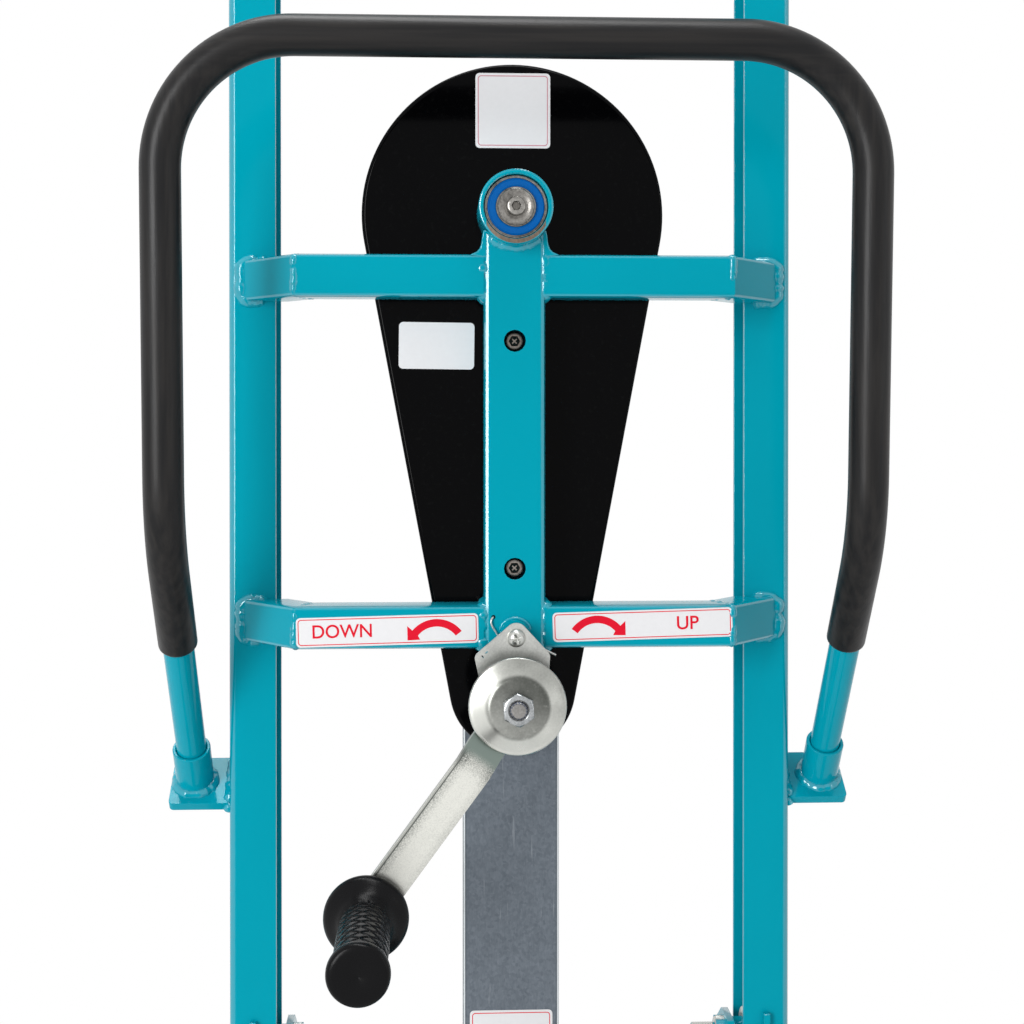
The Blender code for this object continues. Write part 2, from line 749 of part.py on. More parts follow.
def make_guard():
    """The folded sheet column that the lifting chain runs in, open towards the carriage."""
    half = GUARD_WIDTH / 2
    wall = GUARD_WALL
    foot = LEG_TOP + SEAT_GAP
    front = GUARD_BACK + GUARD_DEPTH
    outline = [
        (half, front), (half - wall, front), (half - wall, GUARD_BACK + wall),
        (-half + wall, GUARD_BACK + wall), (-half + wall, front), (-half, front),
        (-half, GUARD_BACK), (half, GUARD_BACK),
    ]
    place = (0, 0, (foot + GUARD_TOP) / 2)
    guard = flat("chain_guard", [outline], GUARD_TOP - foot, "Z", ORIGIN, place, GALVANISED)
    guard = as_mesh(guard)
    back_wall = (GUARD_BACK - 0.004, GUARD_BACK + wall + 0.004)
    for name, radius, z in (("shaft_opening", SHAFT_RADIUS + 0.002, SHAFT_Z),
                            ("idler_opening", IDLER_PIN + RUN_GAP, IDLER_Z)):
        cut(guard, rod(name, radius, *back_wall, "Y", ORIGIN, None, (0, z)))


# The chain case
def make_case():
    outline = teardrop(CASE_TOP_RADIUS, CASE_FOOT_RADIUS, SHAFT_DISTANCE, 16)
    shape = bmesh.new()
    rim = [shape.verts.new((x, 0, z)) for x, z in outline]
    face = shape.faces.new(rim)
    walls = bmesh.ops.extrude_edge_only(shape, edges=list(face.edges))
    moved = [item for item in walls["geom"] if isinstance(item, bmesh.types.BMVert)]
    bmesh.ops.translate(shape, vec=(0, CASE_DEPTH, 0), verts=moved)
    cover = from_bmesh(
        "chain_case_cover", shape, ORIGIN, (0, CASE_FRONT, SHAFT_Z), (0, 0, 0), BLACK_GLOSS, smooth=True
    )
    round_edges(cover, CASE_EDGE, 2, 60)
    hollow(cover, CASE_WALL)
    through = (CASE_FRONT - 0.010, CASE_FRONT + CASE_DEPTH / 2)
    openings = [
        ("case_shaft_opening", SHAFT_RADIUS + 0.001, SHAFT_Z),
        ("case_crank_opening", CRANK_SHAFT_RADIUS + 0.001, CRANK_Z),
        ("case_upper_hole", CASE_SCREW + RUN_GAP, CRANK_Z + UPPER_ACCESS_ABOVE_CRANK),
        ("case_lower_hole", CASE_SCREW + RUN_GAP, CRANK_Z + LOWER_ACCESS_ABOVE_CRANK),
    ]
    for name, radius, z in openings:
        cut(cover, rod(name, radius, *through, "Y", ORIGIN, None, (0, z)))
    back_y = CASE_FRONT + CASE_DEPTH + SEAT_GAP + CASE_WALL / 2
    loops = [outline, circle(SHAFT_RADIUS + 0.001, SMALL_STEPS)]
    flat("chain_case_back", loops, CASE_WALL, "Y", ORIGIN, (0, back_y, SHAFT_Z), BLACK_GLOSS)


def make_case_screw(name, z):
    """A socket head screw that holds the case to the post's back wall."""
    head_back = TUBE_SIZE - TUBE_WALL - SEAT_GAP
    head_front = head_back - 2 * CASE_SCREW
    socket = CASE_SCREW_HEAD * 0.52
    profile = [
        (0, head_front + 0.004), (socket, head_front + 0.004), (socket, head_front),
        (CASE_SCREW_HEAD, head_front), (CASE_SCREW_HEAD, head_back), (CASE_SCREW, head_back),
        (CASE_SCREW, CASE_FRONT + CASE_WALL + 0.004), (0, CASE_FRONT + CASE_WALL + 0.004),
    ]
    turned(name, profile, "Y", ORIGIN, (0, 0, z), BLACK_STEEL, 12)


# Chains and sprockets
def make_chain(name, top_radius, foot_radius, distance, plane, top_z, teeth):
    """A loop as high as its link plates, slotted over each sprocket so that the teeth run between them."""
    half = CHAIN_PLATE / 2
    loops = [teardrop(top_radius + side * half, foot_radius + side * half, distance, 12) for side in (1, -1)]
    chain = as_mesh(flat(name, loops, CHAIN_WIDTH, "Y", ORIGIN, (0, plane, top_z), CHAIN_STEEL))
    slot = (plane - SPROCKET_WIDTH / 2 - TOOTH_GAP / 2, plane + SPROCKET_WIDTH / 2 + TOOTH_GAP / 2)
    for word, count, z in (("top", teeth[0], top_z), ("foot", teeth[1], top_z - distance)):
        radius = sprocket_tip(count) + TOOTH_GAP
        cut(chain, rod(f"{name}_{word}_slot", radius, *slot, "Y", ORIGIN, None, (0, z), max(STEPS, count)))


def make_sprocket(name, teeth, bore, hub, parent, plane, hub_reach):
    """A toothed disc with a hub welded through it."""
    inner = (bore + hub) / 2
    disc = flat(
        name, [sprocket_outline(teeth), circle(inner, SMALL_STEPS)], SPROCKET_WIDTH, "Y", parent,
        (0, plane, 0), STEEL,
    )
    disc = as_mesh(disc)
    low, high = hub_reach
    profile = [(hub, low), (hub, high), (bore, high), (bore, low)]
    ring = turned(f"{name}_hub", profile, "Y", parent, (0, 0, 0), None, SMALL_STEPS)
    return weld(disc, ring)


def make_chains():
    make_chain(
        "drive_chain", LARGE_PITCH_RADIUS, SMALL_PITCH_RADIUS, SHAFT_DISTANCE, DRIVE_PLANE, SHAFT_Z,
        (LARGE_TEETH, SMALL_TEETH),
    )
    make_chain(
        "lift_chain", SMALL_PITCH_RADIUS, SMALL_PITCH_RADIUS, SHAFT_Z - IDLER_Z, LIFT_PLANE, SHAFT_Z,
        (SMALL_TEETH, SMALL_TEETH),
    )


# The upper shaft and what turns with it
def make_upper_shaft():
    turning = group("upper_shaft_axis", (0, 0, SHAFT_Z), ORIGIN)
    front = HOUSING_FRONT + BEARING_RECESS
    profile = [(0, front), (SHAFT_RADIUS, front), (SHAFT_RADIUS, SHAFT_BACK), (0, SHAFT_BACK)]
    turned("drive_shaft", profile, "Y", turning, (0, 0, 0), STEEL)
    bore = SHAFT_RADIUS + SEAT_GAP
    half = SPROCKET_WIDTH / 2
    large_reach = (CASE_FRONT + CASE_WALL + 0.002, DRIVE_PLANE + half + 0.004)
    make_sprocket("large_sprocket", LARGE_TEETH, bore, LARGE_HUB, turning, DRIVE_PLANE, large_reach)
    lift_reach = (GUARD_BACK + GUARD_WALL + 0.002, LIFT_PLANE + half + 0.006)
    make_sprocket("lift_sprocket", SMALL_TEETH, bore, SMALL_HUB, turning, LIFT_PLANE, lift_reach)
    washer_back = front - SEAT_GAP
    washer_front = washer_back - WASHER_THICK
    head = washer_front - SHAFT_SCREW_HEAD * 0.6
    socket = SHAFT_SCREW_HEAD * 0.5
    profile = [
        (0, head + 0.002), (socket, head + 0.002), (socket, head), (SHAFT_SCREW_HEAD, head + 0.001),
        (SHAFT_SCREW_HEAD, washer_front), (WASHER_RADIUS, washer_front), (WASHER_RADIUS, washer_back),
        (0, washer_back),
    ]
    turned("shaft_screw", profile, "Y", turning, (0, 0, 0), STEEL, SMALL_STEPS)


# The crank with its load brake
def make_crank_shaft(turning):
    neck = FRICTION_FRONT
    thread = CAP_PLATEAU_BACK + 0.0012
    end = CAP_FRONT - NUT_HEIGHT - 0.002
    back = CASE_FRONT + CASE_DEPTH - 0.004
    profile = [
        (0, end), (CRANK_THREAD_RADIUS - 0.001, end), (CRANK_THREAD_RADIUS, end + 0.001),
        (CRANK_THREAD_RADIUS, thread), (CRANK_NECK_RADIUS, thread), (CRANK_NECK_RADIUS, neck),
        (CRANK_SHAFT_RADIUS, neck), (CRANK_SHAFT_RADIUS, back), (0, back),
    ]
    turned("crank_shaft", profile, "Y", turning, (0, 0, 0), STEEL, SMALL_STEPS)


def make_crank_arm(turning):
    """A flat bar, stepped towards the operator, with a hub at one end and the grip's pin at the other."""
    hub_front = CAP_PLATEAU_BACK + SEAT_GAP
    half = ARM_WIDTH / 2
    step_start = CAP_RADIUS + ARM_PAST_CAP
    step_end = step_start + ARM_JOGGLE * 1.6
    tip = CRANK_RADIUS + half
    side = [
        (ARM_HUB_BACK, half), (ARM_HUB_BACK, -step_start), (GRIP_PIN_BACK, -step_end), (GRIP_PIN_BACK, -tip),
        (GRIP_PIN_BACK - ARM_THICK, -tip), (GRIP_PIN_BACK - ARM_THICK, -step_end + ARM_THICK * 0.3),
        (ARM_HUB_FRONT, -step_start + ARM_THICK * 0.3), (ARM_HUB_FRONT, half),
    ]
    arm = as_mesh(flat("crank_arm", [side], ARM_WIDTH, "X", turning, (0, 0, 0), ZINC))
    plan = hull_of_circles([(0, 0, half - 0.0001), (0, -CRANK_RADIUS, half - 0.0001)][::-1], 8)
    mask = as_mesh(flat("crank_arm_plan", [plan], 0.080, "Y", turning, (0, ARM_HUB_BACK - 0.010, 0)))
    boolean(arm, mask, "INTERSECT")
    hub = rod("crank_arm_hub", CAP_PLATEAU * 0.72, hub_front, ARM_HUB_BACK - 0.002, "Y", turning)
    weld(arm, hub)
    shaft_hole = rod("crank_arm_bore", CRANK_NECK_RADIUS + SEAT_GAP, -0.090, 0, "Y", turning)
    pin_hole = rod(
        "grip_pin_hole", GRIP_PIN + SEAT_GAP, -0.090, 0, "Y", turning, None, (0, -CRANK_RADIUS)
    )
    cut(arm, shaft_hole, pin_hole)


def make_brake_cap(turning):
    """A dished cap: a flat middle that the nut presses on, a cone and a turned edge."""
    back = CAP_FRONT + CAP_THICK
    bore = CRANK_THREAD_RADIUS + SEAT_GAP
    rim = CAP_FRONT + CAP_DISH
    profile = [
        (bore, back), (CAP_PLATEAU - 0.002, back), (CAP_RADIUS - CAP_THICK, rim + CAP_THICK * 0.6),
        (CAP_RADIUS, rim + CAP_THICK), (CAP_RADIUS, rim), (CAP_RADIUS - 0.0015, rim - 0.0008),
        (CAP_PLATEAU + 0.003, CAP_FRONT + 0.0012), (CAP_PLATEAU, CAP_FRONT), (bore, CAP_FRONT),
    ]
    turned("brake_cap", profile, "Y", turning, (0, 0, 0), ZINC, FINE_STEPS)


def make_crank_nut(turning):
    back = CAP_FRONT - SEAT_GAP
    middle = back - NUT_HEIGHT / 2
    bore = CRANK_THREAD_RADIUS + SEAT_GAP
    loops = [hexagon(NUT_ACROSS), circle(bore, SMALL_STEPS)]
    nut = as_mesh(flat("crank_nut", loops, NUT_HEIGHT, "Y", turning, (0, middle, 0), ZINC))
    crown = NUT_ACROSS / 2 * 1.02
    profile = [
        (0, middle - NUT_HEIGHT), (crown - 0.004, middle - NUT_HEIGHT), (crown + NUT_HEIGHT, middle),
        (crown + NUT_HEIGHT, middle + NUT_HEIGHT), (0, middle + NUT_HEIGHT),
    ]
    boolean(nut, turned("crank_nut_chamfer", profile, "Y", turning, (0, 0, 0), None), "INTERSECT")


def make_friction_hub(turning):
    """The driven half of the load brake, between the ratchet wheel and the arm."""
    ratchet_front = CRANK_HOUSING_FRONT - SEAT_GAP - RATCHET_THICK
    back = ratchet_front - SEAT_GAP
    bore = CRANK_SHAFT_RADIUS + SEAT_GAP
    flange = FRICTION_FRONT + 0.006
    neck = FRICTION_RADIUS * 0.72
    profile = [
        (bore, back), (neck, back), (neck, flange), (FRICTION_RADIUS, flange),
        (FRICTION_RADIUS, FRICTION_FRONT), (bore, FRICTION_FRONT),
    ]
    turned("friction_hub", profile, "Y", turning, (0, 0, 0), STEEL)


def make_grip(turning):
    """The rubber grip turns on a pin riveted in the end of the arm."""
    pin_front = GRIP_START - GRIP_LENGTH + 0.012
    collar = GRIP_PIN_BACK - ARM_THICK - SEAT_GAP
    place = (0, 0, -CRANK_RADIUS)
    profile = [
        (0, pin_front), (GRIP_PIN, pin_front), (GRIP_PIN, GRIP_START + SEAT_GAP),
        (0.011, GRIP_START + SEAT_GAP), (0.011, collar), (GRIP_PIN, collar),
        (GRIP_PIN, GRIP_PIN_BACK + SEAT_GAP), (0.010, GRIP_PIN_BACK + SEAT_GAP),
        (0.007, GRIP_PIN_BACK + 0.003), (0, GRIP_PIN_BACK + 0.003),
    ]
    turned("grip_pin", profile, "Y", turning, place, STEEL, SMALL_STEPS)
    spinning = group("crank_grip_axis", place, turning)
    end = GRIP_START - GRIP_LENGTH
    start = GRIP_START
    bore = GRIP_PIN + RUN_GAP
    bottom = pin_front - RUN_GAP
    profile = [
        (0, end), (GRIP_END - 0.006, end), (GRIP_END, end + 0.006), (GRIP_END, end + 0.016),
        (GRIP_BODY, end + 0.026), (GRIP_BODY + 0.0015, end + 0.060), (GRIP_BODY, start - 0.022),
        (GRIP_BODY + 0.003, start - 0.010), (GRIP_FLANGE - 0.003, start - 0.004),
        (GRIP_FLANGE, start - 0.002), (GRIP_FLANGE - 0.001, start), (bore, start), (bore, bottom),
        (0, bottom),
    ]
    turned("crank_grip", profile, "Y", spinning, (0, 0, 0), RUBBER)


def make_crank():
    turning = group("crank_axis", (0, 0, CRANK_Z), ORIGIN, (0, CRANK_ANGLE, 0))
    make_crank_shaft(turning)
    half = SPROCKET_WIDTH / 2
    reach = (CASE_FRONT + CASE_WALL + 0.002, DRIVE_PLANE + half + 0.003)
    bore = CRANK_SHAFT_RADIUS + SEAT_GAP
    make_sprocket("small_sprocket", SMALL_TEETH, bore, SMALL_HUB - 0.002, turning, DRIVE_PLANE, reach)
    make_friction_hub(turning)
    make_crank_arm(turning)
    make_brake_cap(turning)
    make_crank_nut(turning)
    make_grip(turning)


# The ratchet and its pawl
PAWL_BACK = CRANK_HOUSING_FRONT - SEAT_GAP - RATCHET_THICK - 0.0005 + PAWL_THICK
PAWL_FRONT = PLATE_FRONT + PLATE_THICK + SEAT_GAP
PAWL_BOSS_LENGTH = -(PAWL_FRONT + PAWL_THICK) - SEAT_GAP


def make_ratchet():
    middle = CRANK_HOUSING_FRONT - SEAT_GAP - RATCHET_THICK / 2
    loops = [ratchet_outline(), circle(CRANK_SHAFT_RADIUS + RUN_GAP, SMALL_STEPS)]
    flat("ratchet_wheel", loops, RATCHET_THICK, "Y", ORIGIN, (0, middle, CRANK_Z), STEEL)


def make_pawl():
    """A wedge from its pivot down to the steep face of a tooth."""
    swinging = group("pawl_axis", (0, 0, CRANK_Z + PAWL_RISE), ORIGIN)
    reach = RATCHET_RADIUS - RATCHET_DEPTH + PAWL_NOSE_RISE
    nose = (reach * math.cos(PAWL_BITE), reach * math.sin(PAWL_BITE) - PAWL_RISE, PAWL_NOSE)
    outline = hull_of_circles([(0, 0, PAWL_EYE), nose, PAWL_SHOULDER], 4)
    middle = PAWL_FRONT + PAWL_THICK / 2
    loops = [outline, circle(PAWL_SCREW + RUN_GAP, 12)]
    flat("pawl", loops, PAWL_THICK, "Y", swinging, (0, middle, 0), STEEL)


def make_pawl_plate():
    apex = (0, PAWL_RISE + 0.003, 0.009)
    foot = (0, 0, 0.031)
    circles = [foot, (0.0262, 0.0345, 0.007), apex, (-0.0262, 0.0345, 0.007)]
    opening = FRICTION_RADIUS * 0.72 + 0.002
    loops = [hull_of_circles(circles), circle(opening), circle(PAWL_SCREW + SEAT_GAP, 12, (0, PAWL_RISE))]
    middle = PLATE_FRONT + PLATE_THICK / 2
    flat("pawl_plate", loops, PLATE_THICK, "Y", ORIGIN, (0, middle, CRANK_Z), ZINC)
    head_back = PLATE_FRONT - SEAT_GAP
    profile = [
        (0, head_back - 0.0055), (PAWL_HEAD * 0.55, head_back - 0.005), (PAWL_HEAD * 0.9, head_back - 0.0028),
        (PAWL_HEAD, head_back), (PAWL_SCREW, head_back), (PAWL_SCREW, TUBE_WALL + 0.004),
        (0, TUBE_WALL + 0.004),
    ]
    turned("pawl_screw", profile, "Y", ORIGIN, (0, 0, CRANK_Z + PAWL_RISE), ZINC, SMALL_STEPS)


def make_pawl_spring():
    """A torsion spring round the pawl's boss: one leg in the post, the other behind the pawl."""
    turns = 1.6
    count = 20
    half_step = math.pi * turns / count
    coil = (PAWL_BOSS + SEAT_GAP + SPRING_WIRE) / math.cos(half_step) + SEAT_GAP
    pivot = Vector((0, 0, CRANK_Z + PAWL_RISE))
    back = -SEAT_GAP - SPRING_WIRE
    front = PAWL_FRONT + PAWL_THICK + SEAT_GAP + SPRING_WIRE
    path = [pivot + Vector((-0.017, back, 0.012)), pivot + Vector((-0.0155, back, 0.004))]
    for step in range(count + 1):
        share = step / count
        angle = math.radians(190) + share * turns * 2 * math.pi
        depth = back + (front - back) * share
        path.append(pivot + Vector((coil * math.cos(angle), depth, coil * math.sin(angle))))
    path.append(pivot + Vector((0.029, front, -0.019)))
    wire("pawl_spring", path, SPRING_WIRE, ORIGIN, STEEL, True, 1)


# The push handle
def handle_corners():
    foot_y, foot_z = HANDLE_FOOT
    knee_y, knee_z = HANDLE_KNEE
    head_y, head_z = HANDLE_HEAD
    left = [(-HANDLE_HALF, foot_y, foot_z), (-HANDLE_HALF, knee_y, knee_z), (-HANDLE_HALF, head_y, head_z)]
    right = [(-x, y, z) for x, y, z in reversed(left)]
    return left + right


def make_handle():
    radii = [HANDLE_KNEE_ROUND, HANDLE_CORNER, HANDLE_CORNER, HANDLE_KNEE_ROUND]
    path = smooth_path(handle_corners(), radii, 18)
    rise = (path[1] - path[0]).normalized()
    fall = (path[-2] - path[-1]).normalized()
    tube_path = [path[0] + rise * (SOCKET_PLATE_THICK / 2 + SEAT_GAP)] + path[1:-1]
    tube_path.append(path[-1] + fall * (SOCKET_PLATE_THICK / 2 + SEAT_GAP))
    tube = wire("handle_tube", tube_path, HANDLE_RADIUS, ORIGIN, PAINT, False)
    hollow(tube, HANDLE_WALL)
    sleeve_path = [path[0] + rise * SLEEVE_ABOVE_FOOT] + path[1:-1] + [path[-1] + fall * SLEEVE_ABOVE_FOOT]
    sleeve = wire("handle_sleeve", sleeve_path, SLEEVE_RADIUS, ORIGIN, SOFT_SLEEVE, False)
    hollow(sleeve, SLEEVE_RADIUS - HANDLE_RADIUS - SEAT_GAP)
    make_sockets(rise)


def make_sockets(rise):
    """A short tube on a plate that stands square to the handle's leg, welded to the rail's web."""
    lean = math.atan2(-rise.y, rise.z)
    foot_y, foot_z = HANDLE_FOOT
    for word, side in SIDES:
        stand = group(f"socket_{word}_axis", (side * HANDLE_HALF, foot_y, foot_z), ORIGIN, (lean, 0, 0))
        offset = side * (MAST_SPAN / 2 + SEAT_GAP + SOCKET_PLATE / 2 - HANDLE_HALF)
        plate = rounded_box(SOCKET_PLATE, SOCKET_PLATE, 0.003, 1)
        piece = as_mesh(flat(
            f"handle_socket_{word}", [plate], SOCKET_PLATE_THICK, "Z", stand, (offset, 0, 0), PAINT
        ))
        bore = HANDLE_RADIUS + SEAT_GAP
        low = SOCKET_PLATE_THICK / 2 - 0.001
        high = SOCKET_PLATE_THICK / 2 + SOCKET_LENGTH
        profile = [(SOCKET_RADIUS, low), (SOCKET_RADIUS, high), (bore, high), (bore, low)]
        weld(piece, turned(f"socket_{word}_tube", profile, "Z", stand, (0, 0, 0), None))


# The base
def make_leg(word, side):
    """A box tube with a fork cut in its front end and an upright plate for the axle at its rear."""
    length = LEG_FRONT - LEG_REAR
    place = (side * LEG_X, (LEG_FRONT + LEG_REAR) / 2, LEG_CENTRE_Z)
    leg = as_mesh(square_tube(f"base_leg_{word}", LEG_WIDTH, LEG_HEIGHT, length, "Y", ORIGIN, place, PAINT))
    half = LEG_WIDTH / 2 - TUBE_WALL
    low = (side * LEG_X - half, LEG_FRONT - LEG_FORK, -0.010)
    high = (side * LEG_X + half, LEG_FRONT + 0.010, LEG_TOP + 0.010)
    slot = block(f"front_fork_slot_{word}", low, high, ORIGIN)
    top_z = AXLE_Z + BRACKET_WIDTH / 2
    sunk = LEG_TOP - TUBE_WALL / 2
    middle_y = BRACKET_WIDTH / 2
    plate = [(-middle_y, sunk), (middle_y, sunk)] + arc((0, AXLE_Z), middle_y, 0, 180, 10)
    bracket = as_mesh(flat(
        f"axle_plate_{word}", [plate, circle(AXLE_RADIUS + SEAT_GAP, SMALL_STEPS, (0, AXLE_Z))],
        BRACKET_THICK, "X", ORIGIN, (side * LEG_X, AXLE_Y, 0),
    ))
    pin = rod(
        f"front_pin_{word}", FRONT_PIN, side * LEG_X - LEG_WIDTH / 2 - 0.004,
        side * LEG_X + LEG_WIDTH / 2 + 0.004, "X", ORIGIN, None, (FRONT_ROLLER_Y, LEG_CENTRE_Z),
    )
    cut(leg, slot)
    weld(leg, bracket, pin)
    return top_z


def make_base():
    for word, side in SIDES:
        make_leg(word, side)
        make_front_roller(word, side)
        make_wheel(word, side)
    length = 2 * (RAIL_INNER_X - SEAT_GAP)
    place = (0, RAIL_CENTRE_Y, LEG_CENTRE_Z)
    square_tube("base_cross_tube", CROSS_TUBE_DEPTH, LEG_HEIGHT, length, "X", ORIGIN, place, PAINT)
    end = WHEEL_X + WHEEL_HUB_LENGTH / 2 + AXLE_END
    profile = [
        (0, -end), (AXLE_RADIUS - 0.0015, -end), (AXLE_RADIUS, -end + 0.0015), (AXLE_RADIUS, end - 0.0015),
        (AXLE_RADIUS - 0.0015, end), (0, end),
    ]
    turned("wheel_axle", profile, "X", ORIGIN, (0, AXLE_Y, AXLE_Z), STEEL)


def make_front_roller(word, side):
    spinning = group(f"front_roller_{word}_axis", (side * LEG_X, FRONT_ROLLER_Y, LEG_CENTRE_Z), ORIGIN)
    half = FRONT_ROLLER_WIDTH / 2
    bore = FRONT_PIN + RUN_GAP
    profile = [(bore, half), (FRONT_ROLLER_RADIUS - 0.004, half), (FRONT_ROLLER_RADIUS, half - 0.004)]
    profile += [(radius, -along) for radius, along in reversed(profile)]
    turned(f"front_roller_{word}", profile, "X", spinning, (0, 0, 0), NYLON)


def make_wheel(word, side):
    """A wheel of two pieces: a rim with its hub and a tyre that sits between the rim's flanges."""
    spinning = group(f"wheel_{word}_axis", (side * WHEEL_X, AXLE_Y, AXLE_Z), ORIGIN)
    bore = AXLE_RADIUS + RUN_GAP
    hub = AXLE_RADIUS * 2.2
    hub_half = WHEEL_HUB_LENGTH / 2
    web = 0.003
    seat_half = WHEEL_WIDTH * 0.315
    flange_half = seat_half + 0.006
    profile = [
        (bore, hub_half), (hub, hub_half), (hub + 0.008, web), (RIM_SEAT - 0.004, flange_half),
        (RIM_FLANGE, flange_half), (RIM_SEAT, seat_half - 0.001),
    ]
    profile += [(radius, -along) for radius, along in reversed(profile)]
    turned(f"wheel_rim_{word}", profile, "X", spinning, (0, 0, 0), RIM_PLASTIC, FINE_STEPS)
    bead = seat_half - 0.001 - SEAT_GAP
    seat = RIM_SEAT + SEAT_GAP
    wide = WHEEL_WIDTH / 2
    tall = WHEEL_RADIUS
    profile = [
        (seat, bead), (RIM_FLANGE + 0.002, bead), (tall * 0.72, wide), (tall * 0.88, wide * 0.94),
        (tall * 0.97, wide * 0.70), (tall, wide * 0.25),
    ]
    profile += [(radius, -along) for radius, along in reversed(profile)]
    turned(f"wheel_tyre_{word}", profile, "X", spinning, (0, 0, 0), RUBBER, FINE_STEPS)


# The idler at the foot of the lifting chain
def make_idler():
    plate_y = (RAIL_SET_BACK, GUARD_BACK - SEAT_GAP)
    half = IDLER_PLATE / 2
    foot = LEG_TOP + SEAT_GAP
    top = IDLER_Z + half
    plate = block("idler_bracket", (-half, plate_y[0], foot), (half, plate_y[1], top), ORIGIN, PAINT)
    sprocket_half = SPROCKET_WIDTH / 2
    pin_end = LIFT_PLANE + sprocket_half + 0.006
    weld(plate, rod("idler_pin", IDLER_PIN, plate_y[0] + 0.001, pin_end, "Y", ORIGIN, None, (0, IDLER_Z)))
    turning = group("idler_axis", (0, 0, IDLER_Z), ORIGIN)
    reach = (GUARD_BACK + GUARD_WALL + SEAT_GAP, LIFT_PLANE + sprocket_half + 0.004)
    bore = IDLER_PIN + RUN_GAP
    make_sprocket("idler_sprocket", SMALL_TEETH, bore, SMALL_HUB - 0.004, turning, LIFT_PLANE, reach)


# The carriage
def make_carriage():
    sliding = group("carriage_slide", (0, 0, 0), ORIGIN)
    inner = PLATE_X - SIDE_PLATE_THICK
    side_plate = [
        (SIDE_PLATE_BACK, SIDE_PLATE_FOOT), (CARRIAGE_FRONT, SIDE_PLATE_FOOT),
        (CARRIAGE_FRONT, SIDE_PLATE_SHOULDER), (CARRIAGE_FRONT - SIDE_PLATE_CHAMFER, SIDE_PLATE_TOP),
        (SIDE_PLATE_BACK, SIDE_PLATE_TOP),
    ]
    middle_x = (PLATE_X + inner) / 2
    frame = as_mesh(flat(
        "carriage_frame", [side_plate], SIDE_PLATE_THICK, "X", sliding, (middle_x, 0, 0), PAINT
    ))
    tools = [as_mesh(flat(
        "carriage_plate_left", [side_plate], SIDE_PLATE_THICK, "X", sliding, (-middle_x, 0, 0)
    ))]
    for name, z in (("lower", LOWER_TUBE_Z), ("upper", UPPER_TUBE_Z)):
        middle = (0, CARRIAGE_TUBE_Y + CARRIAGE_TUBE / 2 - 0.0001, z)
        length = 2 * inner + 0.001
        tools.append(as_mesh(square_tube(
            f"carriage_tube_{name}", CARRIAGE_TUBE, CARRIAGE_TUBE, length, "X", sliding, middle, None
        )))
    weld(frame, *tools)
    for name, z in (("lower", LOWER_TUBE_Z), ("upper", UPPER_TUBE_Z)):
        place = (CARRIAGE_TUBE_Y + CARRIAGE_TUBE / 2, z)
        cut(frame, rod(
            f"tube_end_hole_{name}", TUBE_END_HOLE, -PLATE_X - 0.010, PLATE_X + 0.010, "X", sliding, None,
            place,
        ))
    for height, z in (("upper", ROLLER_TOP_Z), ("lower", ROLLER_TOP_Z - ROLLER_SPACING)):
        for word, side in SIDES:
            make_roller(frame, height, word, side, z, sliding)
    for word, side in SIDES:
        make_fork(word, side, sliding)
    make_clamp(sliding)


def make_roller(frame, height, word, side, z, sliding):
    """A rail roller on its bolt. The bolt, its collar and its nut are part of the carriage frame."""
    roller_inner = RAIL_INNER_X + 0.004
    outer = roller_inner + ROLLER_WIDTH + 0.001
    inner = PLATE_X - SIDE_PLATE_THICK
    nut_inner = inner - ROLLER_NUT_HEIGHT
    ends = sorted((side * ROLLER_BOLT_INNER, side * outer))
    place = (RAIL_CENTRE_Y, z)
    bolt = rod(f"roller_bolt_{height}_{word}", ROLLER_BOLT, *ends, "X", sliding, None, place, 12)
    ends = sorted((side * (inner + 0.002), side * (roller_inner - RUN_GAP)))
    collar = rod(f"roller_collar_{height}_{word}", ROLLER_COLLAR, *ends, "X", sliding, None, place, 12)
    nut_middle = side * (nut_inner + inner + 0.001) / 2
    nut = as_mesh(flat(
        f"roller_nut_{height}_{word}", [hexagon(ROLLER_NUT_ACROSS)], ROLLER_NUT_HEIGHT + 0.001, "X",
        sliding, (nut_middle, *place),
    ))
    weld(frame, bolt, collar, nut)
    spinning = group(f"carriage_roller_{height}_{word}_axis", (0, *place), sliding)
    bore = ROLLER_BOLT + RUN_GAP
    edge = 0.002
    near, far = sorted((side * roller_inner, side * (roller_inner + ROLLER_WIDTH)))
    profile = [
        (bore, near), (ROLLER_RADIUS - edge, near), (ROLLER_RADIUS, near + edge),
        (ROLLER_RADIUS, far - edge), (ROLLER_RADIUS - edge, far), (bore, far),
    ]
    name = f"carriage_roller_{height}_{word}"
    turned(name, profile, "X", spinning, (0, 0, 0), NYLON)


def make_fork(word, side, sliding):
    """A flat bar bent to an L: the shank on the carriage's tubes, the blade tapered at its tip."""
    back = FORK_BACK
    tip = back + FORK_THICK + FORK_LENGTH
    bottom = FORK_BOTTOM
    thick = FORK_THICK
    bend = FORK_BEND
    outline = arc((back + bend + thick, bottom + bend + thick), bend + thick, 180, 270, 6)
    outline += [(tip - 0.080, bottom), (tip, bottom + thick * 0.5), (tip, bottom + thick)]
    outline += arc((back + bend + thick, bottom + bend + thick), bend, 270, 180, 6)
    outline += [(back + thick, FORK_TOP), (back, FORK_TOP)]
    place = (side * FORK_CENTRE_X, 0, 0)
    flat(f"fork_{word}", [outline], FORK_WIDTH, "X", sliding, place, PAINT)


